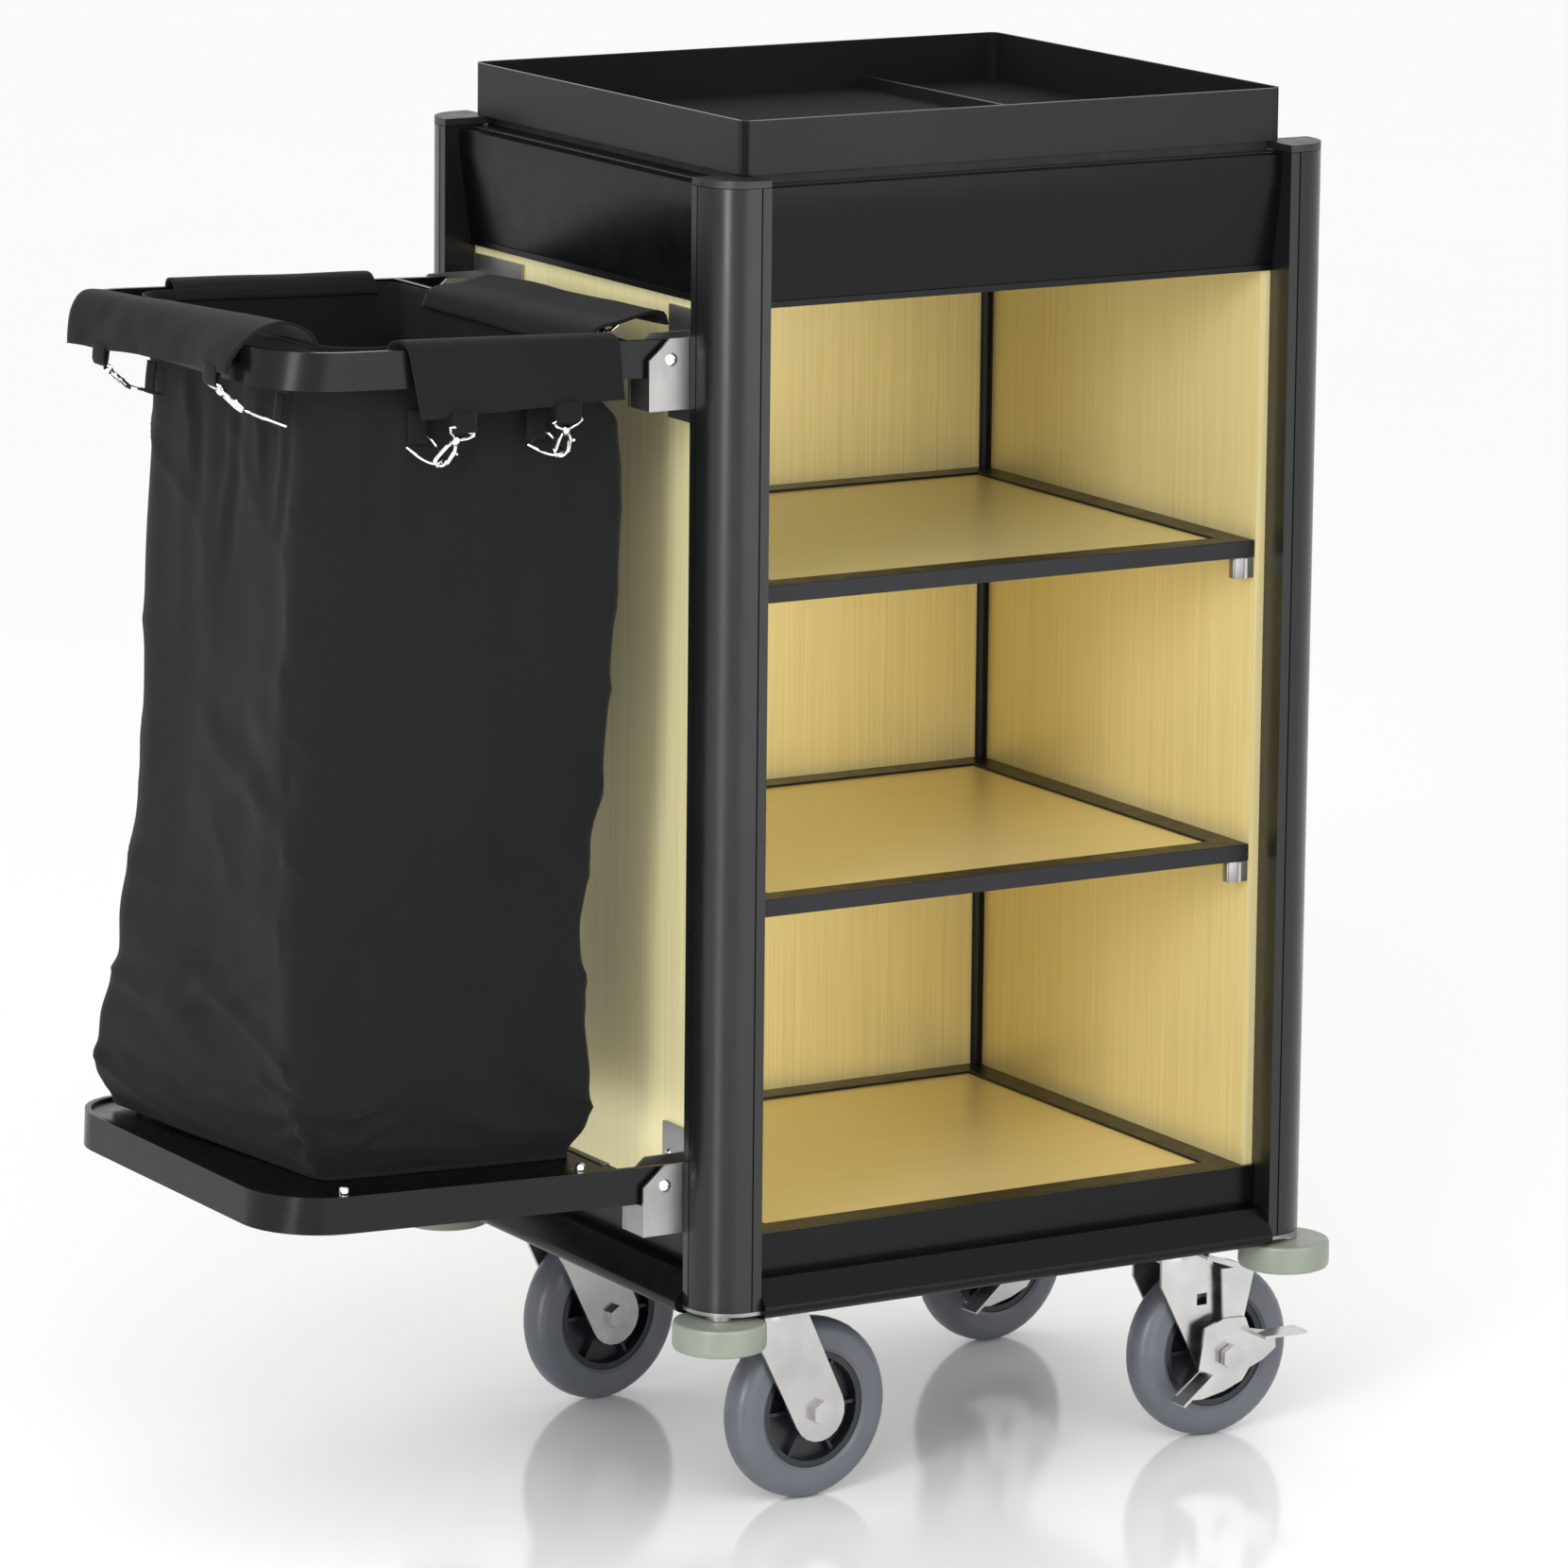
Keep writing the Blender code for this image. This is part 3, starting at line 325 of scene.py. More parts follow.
def smooth_normals(mesh, limit=radians(32)):
    """Shade curved faces smoothly: a corner takes the mean direction of the nearly level faces there."""
    spots = [tuple(round(c, 6) for c in vertex.co) for vertex in mesh.vertices]
    meeting = {}
    for polygon in mesh.polygons:
        for k in polygon.vertices:
            meeting.setdefault(spots[k], []).append(polygon)
        polygon.use_smooth = True
    normals = []
    least = cos(limit)
    for polygon in mesh.polygons:
        for k in polygon.vertices:
            total = Vector()
            for other in meeting[spots[k]]:
                if polygon.normal.dot(other.normal) > least:
                    total += other.normal * other.area
            normals.append(total.normalized() if total.length > 0 else polygon.normal)
    mesh.normals_split_custom_set(normals)


def paint_frame():
    """Give every CAD node its detailed finish."""
    for name, node in frame["nodes"].items():
        slot = node.material_slots[0].material.name.split(".")[0]
        finish = FINISHES.get("cloth_bag" if slot == "black_fabric" else slot)
        # The shelf boards take the darker copy of the gold: painted shade.
        if name in LEVEL_GRAIN:
            finish = FINISHES["gold_level"]
        # The corner posts take the paler copy of the satin black: painted light.
        if name.startswith("corner_post"):
            finish = FINISHES["post"]
        # The left panel takes the paler copy of the gold: painted light.
        if name == "left_panel":
            finish = FINISHES["gold_outer"]
        # The tray's finish has painted shade inside and a painted highlight on its rim.
        if name == "tray_box":
            finish = FINISHES["tray"]
        smooth_normals(node.data)
        node.material_slots[0].link = "OBJECT"
        node.material_slots[0].material = finish


# -------- mesh helpers
def piece(name, mesh, finish, slot, body, matrix=None, smooth=True):
    """A named piece that rides on a CAD body; its mesh is put in place by the matrix."""
    if matrix is not None:
        mesh.transform(matrix)
    mesh.materials.clear()
    mesh.materials.append(FINISHES[finish])
    obj = bpy.data.objects.new(name, mesh)
    bpy.context.scene.collection.objects.link(obj)
    if smooth:
        mesh.shade_smooth()
        mesh.set_sharp_from_angle(angle=radians(40))
    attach(obj, body)
    return obj


def mesh_of(work, name):
    """Finished mesh of a bmesh, with its faces pointing out."""
    bmesh.ops.recalc_face_normals(work, faces=work.faces)
    mesh = bpy.data.meshes.new(name)
    work.to_mesh(mesh)
    work.free()
    return mesh


def joined(meshes, name):
    """Several meshes as one."""
    work = bmesh.new()
    for mesh in meshes:
        work.from_mesh(mesh)
    return mesh_of(work, name)


def turned(profile, steps=24):
    """Closed shape turned about Z from (radius, height) points; its ends lie on the axis."""
    work = bmesh.new()
    rings = []
    for radius, height in profile:
        if radius < 1e-6:
            rings.append([work.verts.new((0, 0, height))])
            continue
        ring = []
        for i in range(steps):
            angle = tau * i / steps
            ring.append(work.verts.new((radius * cos(angle), radius * sin(angle), height)))
        rings.append(ring)
    for lower, upper in zip(rings, rings[1:]):
        for i in range(steps):
            j = (i + 1) % steps
            if len(lower) == 1:
                work.faces.new((lower[0], upper[j], upper[i]))
            elif len(upper) == 1:
                work.faces.new((lower[i], lower[j], upper[0]))
            else:
                work.faces.new((lower[i], lower[j], upper[j], upper[i]))
    return mesh_of(work, "turned")


def wire(points, radius, closed=False, sides=8):
    """Round wire along points."""
    work = bmesh.new()
    count = len(points)
    rings = []
    side = None
    for i, point in enumerate(points):
        before = points[i - 1] if closed or i else point
        after = points[(i + 1) % count] if closed or i < count - 1 else point
        ahead = (after - before).normalized()
        if side is None:
            side = ahead.orthogonal().normalized()
        side = (side - ahead * side.dot(ahead)).normalized()
        up = ahead.cross(side)
        ring = []
        for k in range(sides):
            angle = tau * k / sides
            ring.append(work.verts.new(point + radius * (cos(angle) * side + sin(angle) * up)))
        rings.append(ring)
    pairs = list(zip(rings, rings[1:]))
    if closed:
        pairs.append((rings[-1], rings[0]))
    for lower, upper in pairs:
        shift = 0
        if upper is rings[0] and lower is rings[-1]:
            gaps = [(lower[0].co - upper[k].co).length for k in range(sides)]
            shift = gaps.index(min(gaps))
        for k in range(sides):
            j = (k + 1) % sides
            work.faces.new((lower[k], lower[j], upper[(j + shift) % sides], upper[(k + shift) % sides]))
    if not closed:
        work.faces.new(rings[0])
        work.faces.new(rings[-1])
    return mesh_of(work, "wire")


def cut(mesh, tools):
    """Mesh with the tools' meshes cut away."""
    base = bpy.data.objects.new("cut_base", mesh)
    bpy.context.scene.collection.objects.link(base)
    for tool in tools:
        other = bpy.data.objects.new("cut_tool", tool)
        bpy.context.scene.collection.objects.link(other)
        modifier = base.modifiers.new("Cut", "BOOLEAN")
        modifier.operation = "DIFFERENCE"
        modifier.solver = "EXACT"
        modifier.object = other
    bpy.context.view_layer.update()
    graph = bpy.context.evaluated_depsgraph_get()
    made = bpy.data.meshes.new_from_object(base.evaluated_get(graph))
    for modifier in base.modifiers:
        bpy.data.objects.remove(modifier.object, do_unlink=True)
    bpy.data.objects.remove(base, do_unlink=True)
    return made


def block(low, high, rounding=0.0):
    """Box between two corners, with rounded edges when asked."""
    low, high = Vector(low), Vector(high)
    work = bmesh.new()
    bmesh.ops.create_cube(work, size=1.0)
    for vert in work.verts:
        vert.co = (low + high) / 2 + Vector([a * b for a, b in zip(vert.co, high - low)])
    if rounding > 0:
        edges = list(work.edges)
        bmesh.ops.bevel(work, geom=edges, offset=rounding, segments=2, profile=0.5, affect="EDGES")
    return mesh_of(work, "block")


def even_places(points, steps, count):
    """Even steps along points, each as (point before it, share of the way on), and the whole length."""
    lengths = [0.0]
    for a, b in zip(points, points[1:]):
        lengths.append(lengths[-1] + (b - a).length)
    places = []
    k = 0
    for i in range(count):
        wanted = lengths[-1] * i / steps
        while k < len(points) - 2 and lengths[k + 1] < wanted:
            k += 1
        places.append((k, (wanted - lengths[k]) / max(lengths[k + 1] - lengths[k], 1e-9)))
    return places, lengths[-1]


def spline(points, count):
    """Smooth curve through points, resampled to even steps, and its length."""
    ends = [points[0] * 2 - points[1]] + list(points) + [points[-1] * 2 - points[-2]]
    fine = []
    for a, b, c, d in zip(ends, ends[1:], ends[2:], ends[3:]):
        for step in range(16):
            t = step / 16
            fine.append(0.5 * ((2 * b) + (c - a) * t + (2 * a - 5 * b + 4 * c - d) * t ** 2
                               + (3 * b - a - 3 * c + d) * t ** 3))
    fine.append(points[-1])
    places, length = even_places(fine, count - 1, count)
    return [fine[k].lerp(fine[k + 1], share) for k, share in places], length


def smooth_between(value, table):
    """Value of a smooth curve through (place, value) rows, with places in rising order."""
    if value <= table[0][0]:
        return table[0][1]
    for (a, first), (b, second) in zip(table, table[1:]):
        if value <= b:
            t = (value - a) / (b - a)
            return first + (second - first) * t * t * (3 - 2 * t)
    return table[-1][1]


def cloth_grid(rows, name, closed=False):
    """Sheet through rows of points, with a map in metres: across the rows, and from the last row back."""
    work = bmesh.new()
    layer = work.loops.layers.uv.new("metres")
    verts = [[work.verts.new(point) for point in row] for row in rows]
    across = [[0.0] for _ in rows]
    for row, places in zip(rows, across):
        for a, b in zip(row, row[1:] + row[:1]):
            places.append(places[-1] + (b - a).length)
    middle = len(rows[0]) // 3
    down = [0.0]
    for upper, lower in zip(rows[::-1], rows[-2::-1]):
        down.append(down[-1] + (upper[middle] - lower[middle]).length)
    down = down[::-1]
    widths = across[len(rows) // 2]
    count = len(rows[0])
    for i in range(len(rows) - 1):
        for k in range(count if closed else count - 1):
            j = (k + 1) % count
            face = work.faces.new((verts[i][k], verts[i][j], verts[i + 1][j], verts[i + 1][k]))
            corners = ((widths[k], down[i]), (widths[k + 1], down[i]), (widths[k + 1], down[i + 1]),
                       (widths[k], down[i + 1]))
            for loop, corner in zip(face.loops, corners):
                loop[layer].uv = corner
    mesh = bpy.data.meshes.new(name)
    work.to_mesh(mesh)
    work.free()
    return mesh


def thicken(obj, thickness, offset=0.0):
    """Turn a sheet into cloth of that thickness, applied to its mesh."""
    wall = obj.modifiers.new("Wall", "SOLIDIFY")
    wall.thickness = thickness
    wall.offset = offset
    wall.use_even_offset = False
    bpy.context.view_layer.update()
    graph = bpy.context.evaluated_depsgraph_get()
    mesh = bpy.data.meshes.new_from_object(obj.evaluated_get(graph))
    mesh.name = obj.name
    obj.modifiers.clear()
    obj.data = mesh


# -------- the cloth bag
BAG_ROWS = 160
BAG_COLUMNS = 260
BAG_FOOT = 0.3  # levels between which the tables below describe the bag
BAG_RIM = 0.97
BAG_FLOOR_GAP = 0.0015  # from the platform's board to the bag's floor
# Sides of the bag as (level, inset from the CAD bag's box), and the radii of its corners.
LEFT_SIDE = ((BAG_FOOT, 0.064), (0.33, 0.048), (0.37, 0.038), (0.43, 0.036), (0.6, 0.041), (BAG_RIM, 0.047))
RIGHT_SIDE = ((BAG_FOOT, 0.005), (0.33, -0.005), (0.37, -0.003), (0.43, 0.002), (0.49, 0.008), (0.56, 0.001),
              (0.62, -0.011), (0.7, -0.015), (0.78, -0.02), (0.86, -0.025), (0.9, -0.021), (0.93, 0.001),
              (BAG_RIM, 0.003))
FRONT_SIDE = ((BAG_FOOT, 0.054), (0.33, 0.04), (0.38, 0.032), (0.5, 0.024), (0.7, 0.019), (BAG_RIM, 0.015))
BACK_SIDE = ((BAG_FOOT, 0.018), (0.33, 0.008), (0.45, 0.006), (0.7, 0.008), (BAG_RIM, 0.012))
LEFT_CORNERS = ((BAG_FOOT, 0.01), (0.34, 0.018), (0.44, 0.04), (0.6, 0.055), (0.88, 0.055),
                (BAG_RIM, 0.034))
RIGHT_CORNERS = ((BAG_FOOT, 0.008), (BAG_RIM, 0.015))
# How far the bag's back left corner swings out at each level, and how far its floor lifts there.
LEFT_SWING = ((BAG_FOOT, -0.04), (0.33, -0.038), (0.37, -0.028), (0.43, -0.012), (0.54, -0.004),
              (0.7, 0.0))
FLOOR_LIFT = 0.006
# Creases in the bag's left side: (place on Y, height) at one end and at the other, half width, and rise.
LEFT_CREASES = (
    ((-0.03, 0.357), (-0.152, 0.366), 0.006, 0.005), ((-0.09, 0.378), (-0.16, 0.362), 0.005, 0.0045),
    ((-0.08, 0.333), (-0.165, 0.358), 0.0055, 0.005), ((-0.105, 0.32), (-0.15, 0.322), 0.0085, 0.006),
    ((0.06, 0.42), (-0.07, 0.452), 0.011, 0.004), ((0.12, 0.35), (0.0, 0.33), 0.009, 0.0035),
    ((-0.1, 0.925), (-0.088, 0.83), 0.007, 0.0022), ((-0.055, 0.925), (-0.06, 0.86), 0.006, 0.0018),
    ((-0.01, 0.925), (0.006, 0.79), 0.009, 0.0024), ((0.07, 0.925), (0.058, 0.84), 0.008, 0.002),
    ((-0.128, 0.86), (-0.1, 0.64), 0.016, 0.0032), ((0.02, 0.64), (-0.12, 0.585), 0.015, 0.0034),
)
# The same for its front, with places on X.
FRONT_CREASES = (
    ((-0.42, 0.364), (-0.36, 0.374), 0.007, 0.007), ((-0.416, 0.336), (-0.355, 0.354), 0.0065, 0.007),
    ((-0.416, 0.318), (-0.33, 0.322), 0.007, 0.006), ((-0.36, 0.336), (-0.27, 0.316), 0.0075, 0.0062),
    ((-0.3, 0.348), (-0.195, 0.322), 0.009, 0.006), ((-0.26, 0.404), (-0.19, 0.372), 0.01, 0.0064),
    ((-0.36, 0.925), (-0.37, 0.78), 0.011, 0.0052), ((-0.3, 0.925), (-0.292, 0.82), 0.009, 0.0044),
    ((-0.225, 0.925), (-0.236, 0.74), 0.012, 0.0054), ((-0.4, 0.58), (-0.32, 0.48), 0.016, 0.0066),
    ((-0.27, 0.62), (-0.195, 0.52), 0.015, 0.006), ((-0.3, 0.47), (-0.2, 0.43), 0.014, 0.0058),
)


def rounded_outline(low, high, left_radius, right_radius, count):
    """Points at even steps round a rounded rectangle, and the way out at each."""
    corners = ((high.x, high.y, 0), (low.x, high.y, 90), (low.x, low.y, 180), (high.x, low.y, 270))
    fine = []
    for x, y, start in corners:
        radius = left_radius if x == low.x else right_radius
        cx = x - radius if x > low.x else x + radius
        cy = y - radius if y > low.y else y + radius
        for step in range(13):
            angle = radians(start + 90 * step / 12)
            way = Vector((cos(angle), sin(angle)))
            fine.append((Vector((cx, cy)) + radius * way, way))
    fine.append(fine[0])
    made = []
    for k, share in even_places([point for point, _ in fine], count, count)[0]:
        (point, way), (next_point, next_way) = fine[k], fine[k + 1]
        made.append((point.lerp(next_point, share), way.lerp(next_way, share).normalized()))
    return made


def rim_height(x):
    """Height of the rack bar's top edge over a place on X."""
    return RACK_PIVOT.z + BAR_HALF / cos(RACK_TILT) - (x - RACK_PIVOT.x) * sin(RACK_TILT) / cos(RACK_TILT)


def board_height(x):
    """Height of the platform board's top face over a place on X."""
    return BOARD_HIGH.z - (x - BOARD_LOW.x) * sin(RACK_TILT) / cos(RACK_TILT)


def fold_relief(place, out, share):
    """How far the cloth stands out: gathers under the rim, soft dents and creases near the floor."""
    round_place = atan2(out.y, out.x)
    flow = Vector((place.x * 26, place.y * 26, place.z * 2.6))
    gathers = 0.0075 * exp(-(1 - share) * 3.0) * noise.noise(flow)
    dents = 0.005 * noise.noise(Vector((place.x * 6.5, place.y * 6.5, place.z * 5.0 + 7.0)))
    slanted = Vector((place.x * 5 + place.z * 7, place.y * 5 - place.z * 5,
                      place.z * 9 + round_place * 0.2))
    ridge = max(1 - abs(noise.noise(slanted)) * 3.2, 0.0)
    creases = 0.005 * ridge ** 2 * (0.3 + 1.1 * exp(-share * 4.0))
    level = Vector((place.x * 4, place.y * 4, place.z * 17 + 3.0))
    low_folds = max(1 - abs(noise.noise(level)) * 3.0, 0.0) ** 2 * 0.0035 * exp(-share * 6.0)
    return gathers + dents + creases + low_folds


def crease_relief(along, height, creases):
    """Sharp ridges with a shallow valley beside each, which fade out towards their ends."""
    total = 0.0
    for start, end, width, rise in creases:
        first, last = Vector(start), Vector(end)
        run = last - first
        spot = Vector((along, height)) - first
        share = spot.dot(run) / run.length_squared
        if not -0.2 < share < 1.2:
            continue
        fade = sin(pi * (share + 0.2) / 1.4)
        wander = 0.5 * width * noise.noise(Vector((share * 3, rise, 0)))
        offset = (spot.x * run.y - spot.y * run.x) / run.length + wander
        ridge = exp(-(offset / width) ** 2) - 0.6 * exp(-((offset - 1.7 * width) / width) ** 2)
        total += rise * fade * ridge
    return total


def bag_rows():
    """Rings of points round the bag's sides, from its floor up to its rim."""
    rows = []
    for i in range(BAG_ROWS + 1):
        share = i / BAG_ROWS
        level = BAG_FOOT + share * (BAG_RIM - BAG_FOOT)
        low = BAG_LOW.xy + Vector((smooth_between(level, LEFT_SIDE), smooth_between(level, FRONT_SIDE)))
        high = BAG_HIGH.xy - Vector((smooth_between(level, RIGHT_SIDE), smooth_between(level, BACK_SIDE)))
        radii = (smooth_between(level, LEFT_CORNERS), smooth_between(level, RIGHT_CORNERS))
        hold = 1.0 - smooth_between(level, ((0.9, 0.0), (0.955, 1.0)))
        swing = smooth_between(level, LEFT_SWING)
        row = []
        for point, out in rounded_outline(low, high, *radii, BAG_COLUMNS):
            to_back = (point.y - low.y) / (high.y - low.y)
            to_left = (high.x - point.x) / (high.x - low.x)
            corner = max(to_back * to_left, 0.0)
            top = rim_height(point.x) - 0.001
            bottom = board_height(point.x) + BAG_FLOOR_GAP + FLOOR_LIFT * corner ** 1.5
            height = bottom + share * (top - bottom)
            place = Vector((point.x + swing * corner, point.y, height))
            relief = fold_relief(place, out, share)
            relief += max(-out.x, 0.0) ** 2 * crease_relief(place.y, place.z, LEFT_CREASES)
            relief += max(-out.y, 0.0) ** 2 * crease_relief(place.x, place.z, FRONT_CREASES)
            relief *= hold * min(1.0, 0.2 + share * 12)
            row.append(place + Vector((out.x, out.y, 0)) * relief)
        rows.append(row)
    return rows


def bag_floor(ring):
    """Rows that close the bag's floor, from its middle out to the ring."""
    centre = sum(ring, Vector()) / len(ring)
    rows = []
    for step in range(1, 7):
        share = step / 7
        row = []
        for point in ring:
            spot = centre.lerp(point, share)
            lift = (point.z - board_height(point.x) - BAG_FLOOR_GAP) * share ** 3
            ripple = 0.0008 * (1 + noise.noise(spot * 18)) * (1 - share)
            spot.z = board_height(spot.x) + BAG_FLOOR_GAP + lift + ripple
            row.append(spot)
        rows.append(row)
    return rows


def build_bag():
    """The bag's sides and floor in one cloth, which stands for the CAD bag, and its two welts."""
    sides = bag_rows()
    rows = bag_floor(sides[0]) + sides
    mesh = cloth_grid(rows, "bag_cloth", closed=True)
    work = bmesh.new()
    work.from_mesh(mesh)
    work.verts.ensure_lookup_table()
    work.faces.new([work.verts[k] for k in range(BAG_COLUMNS)][::-1])
    work.to_mesh(mesh)
    work.free()
    bag = piece("bag_cloth", mesh, "cloth_bag", "black_fabric", "bag_rack")
    thicken(bag, CLOTH, -1.0)
    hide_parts("bag")
    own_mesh(bag)
    build_bag_welt(sides[0], "bag_floor_welt", 0.0014)
    build_bag_welt(sides[-1], "bag_rim_welt", 0.0012)


def build_bag_welt(ring, name, radius):
    """Sewn welt round the bag along a ring of its points, a little outside them."""
    centre = sum(ring, Vector()) / len(ring)
    points = []
    for point in ring[::3]:
        away = Vector((point.x - centre.x, point.y - centre.y, 0)).normalized()
        points.append(point + away * radius * 0.6)
    welt = piece(name, wire(points, radius, closed=True), *SEWN_ON)
    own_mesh(welt)


# -------- flaps, tabs and snap hooks
# Each flap: its reach along the bar at the bag's rim and at the hem, and its section at either end, from
# rim to hem, as (outwards from the bar's outer face, height from the bar's middle).
FLAPS = {
    "front": ((-0.24, -0.05), (-0.222, -0.0425),
              ((-0.024, 0.006), (-0.016, 0.0185), (-0.004, 0.0205), (0.0045, 0.014), (0.0065, -0.006),
               (0.0085, -0.022), (0.01, -0.039)),
              ((-0.024, 0.006), (-0.016, 0.018), (-0.004, 0.0195), (0.0045, 0.0135), (0.0065, -0.004),
               (0.008, -0.017), (0.009, -0.03))),
    "back": ((-0.247, -0.063), (-0.235, -0.068),
             ((-0.024, 0.006), (-0.016, 0.019), (-0.004, 0.0215), (0.0045, 0.0155), (0.0065, -0.006),
              (0.0085, -0.024), (0.01, -0.038)),
             ((-0.024, 0.006), (-0.016, 0.019), (-0.004, 0.021), (0.0045, 0.015), (0.0065, -0.004),
              (0.008, -0.018), (0.009, -0.031))),
    "left": ((-0.149, 0.148), (-0.135, 0.1455),
             ((-0.059, 0.013), (-0.051, 0.0255), (-0.031, 0.033), (-0.012, 0.0275), (0.001, 0.0165),
              (0.008, 0.005), (0.009, -0.006)),
             ((-0.05, 0.006), (-0.034, 0.016), (-0.014, 0.0205), (-0.001, 0.019), (0.006, 0.008),
              (0.0085, -0.007), (0.009, -0.021))),
    "cabinet": ((-0.158, 0.118), (-0.15, 0.108),
                ((-0.016, 0.002), (-0.012, 0.016), (-0.002, 0.0215), (0.014, 0.024), (0.034, 0.029),
                 (0.052, 0.03), (0.058, 0.02)),
                ((-0.016, 0.002), (-0.012, 0.014), (-0.002, 0.0185), (0.014, 0.02), (0.03, 0.024),
                 (0.044, 0.026), (0.05, 0.016))),
}


def flap_section(side, share):
    """A flap's section at a share of its length."""
    _, _, first, last = FLAPS[side]
    return [Vector((*a, 0)).lerp(Vector((*b, 0)), share) for a, b in zip(first, last)]


def flap_place(side, along, out, height):
    """Point in the rack's own frame from a flap's coordinates."""
    if side == "front":
        return Vector((along, -RACK_SIDE - out, height))
    if side == "back":
        return Vector((along, RACK_SIDE + out, height))
    if side == "left":
        return Vector((RACK_REACH - out, along, height))
    return Vector((CROSSBAR + BAR_THICK / 2 + out, along, height))


def build_flap(side):
    """Flap from the bag's rim over the bar to its hem, with a soft wave that grows to the hem."""
    rim, hem = FLAPS[side][:2]
    count, steps = 64, 26
    rows = [[] for _ in range(steps)]
    depth = 0.0
    for k in range(count + 1):
        share = k / count
        profile, reach = spline(flap_section(side, share), steps)
        depth = max(depth, reach)
        for i, spot in enumerate(profile):
            down = i / (steps - 1)
            start = rim[0] + (hem[0] - rim[0]) * down
            end = rim[1] + (hem[1] - rim[1]) * down
            along = start + (end - start) * share
            ease = max(0.0, down - 0.35) / 0.65
            wave = 0.004 * ease * noise.noise(Vector((along * 19, down * 1.6, len(side) * 3.1)))
            ripple = 0.0022 * noise.noise(Vector((along * 34, down * 3.0, len(side) * 5.7)))
            out = spot.x + abs(wave) + ripple * ease
            sag = (0.0012 + 0.0016 * ease) * noise.noise(Vector((along * 13, 4.0, len(side) * 1.7)))
            height = spot.y + sag
            rows[i].append(TO_RACK @ flap_place(side, along, out, height))
    mesh = cloth_grid(rows, f"flap_{side}")
    flap = piece(f"flap_{side}", mesh, "cloth_flap", "black_fabric", "bag_rack")
    thicken(flap, FLAP_CLOTH)


HOOK_LENGTH = 0.036


def hook_mesh():
    """Snap hook along -Z: wide eye with its bar at the origin, swivel, pear-shaped body and gate."""
    eye_wide, eye_deep = 0.0125, 0.009
    half = [(eye_wide - 0.0012, 0), (eye_wide, -0.0012), (eye_wide * 0.72, -eye_deep * 0.62),
            (0.003, -eye_deep)]
    outline = half + [(-x, z) for x, z in half[::-1]]
    eye = [Vector((x, 0, z)) for x, z in outline[-2:] + outline[:-2]]
    neck = -eye_deep - 0.0045
    swivel = turned([(0, -eye_deep + 0.002), (0.0024, -eye_deep + 0.002), (0.0034, -eye_deep - 0.0002),
                     (0.0034, neck + 0.0008), (0.0024, neck - 0.0006), (0, neck - 0.0006)], 18)
    wide = 0.006
    centre = -HOOK_LENGTH + wide
    body = [Vector((-0.0018, 0, neck)), Vector((0.0018, 0, neck)), Vector((wide * 0.75, 0, neck - 0.0045))]
    for step in range(9):
        angle = pi * step / 8
        body.append(Vector((wide * cos(angle), 0, centre - wide * sin(angle))))
    body.append(Vector((-wide * 0.75, 0, neck - 0.0045)))
    gate_x = wide * 0.86
    gate = [Vector((gate_x, -0.0016, neck - 0.005)), Vector((gate_x + 0.0006, -0.0016, centre - 0.001))]
    thumb = turned([(0, 0.0046), (0.0013, 0.0044), (0.0018, 0.0032), (0.0011, 0.0), (0, 0.0)], 12)
    thumb.transform(Matrix.Translation((wide * 0.9, 0, neck - 0.008)) @ Matrix.Rotation(pi / 2, 4, "Y"))
    wires = [wire(eye, 0.00125, closed=True), wire(body, 0.0018, closed=True), wire(gate, 0.0012)]
    return joined([*wires, swivel, thumb], "snap_hook")


def ring_mesh(width, depth):
    """D-ring in the XZ plane: straight bar on top, bow below."""
    points = [Vector((-width / 2, 0, 0)), Vector((width / 2, 0, 0))]
    for step in range(1, 12):
        angle = pi * step / 12
        points.append(Vector((width / 2 * cos(angle), 0, -depth * sin(angle) ** 0.8)))
    return wire(points, 0.0011, closed=True)


def tab_mesh(width, drop):
    """Folded webbing tab that hangs from a hem and wraps round a snap hook's eye."""
    section = ((0.006, 0.0), (0.0, 0.0), (-drop * 0.5, 0.0004), (-drop, 0.0012),
               (-drop - 0.0018, 0.0026), (-drop + 0.001, 0.0042), (-drop * 0.4, 0.004), (0.004, 0.0036))
    rows = []
    for height, out in section:
        row = []
        for k in range(9):
            share = k / 8
            row.append(Vector((width * (share - 0.5), -out - 0.0006 * sin(pi * share), height)))
        rows.append(row)
    return cloth_grid(rows[::-1], "tab")


TAB_WIDTH = 0.021
TAB_DROP = 0.01
RING_WIDTH = 0.023
STRAP_WIDTH = 0.016
STRAP_LENGTH = 0.026
# Each hook: its flap, its place along the bar, where it reaches, and where its ring is sewn to the bag;
# both are (along the bar, outwards from the bar's face, height from the bar's middle).
HOOKS = (
    ("left", 0.086, (0.094, -0.022, -0.055), (0.104, -0.043, -0.056)),
    ("left", -0.107, (-0.108, -0.022, -0.046), (-0.112, -0.046, -0.052)),
    ("front", -0.187, (-0.199, -0.003, -0.075), (-0.212, -0.017, -0.059)),
    ("front", -0.094, (-0.091, -0.003, -0.07), (-0.107, -0.017, -0.06)),
    ("back", -0.187, (-0.197, -0.003, -0.075), (-0.211, -0.017, -0.059)),
    ("back", -0.1, (-0.096, -0.003, -0.072), (-0.111, -0.017, -0.06)),
    ("cabinet", 0.08, (0.074, 0.03, -0.02), (0.066, 0.01, -0.032)),
    ("cabinet", -0.06, (-0.066, 0.03, -0.016), (-0.076, 0.01, -0.03)),
)


def aimed(start, end, across):
    """Frame at the start whose -Z points to the end and whose X lies as near as it can to across."""
    down = (end - start).normalized()
    flat = (across - down * across.dot(down)).normalized()
    return Matrix.Translation(start) @ Matrix((flat, (-down).cross(flat), -down)).transposed().to_4x4()


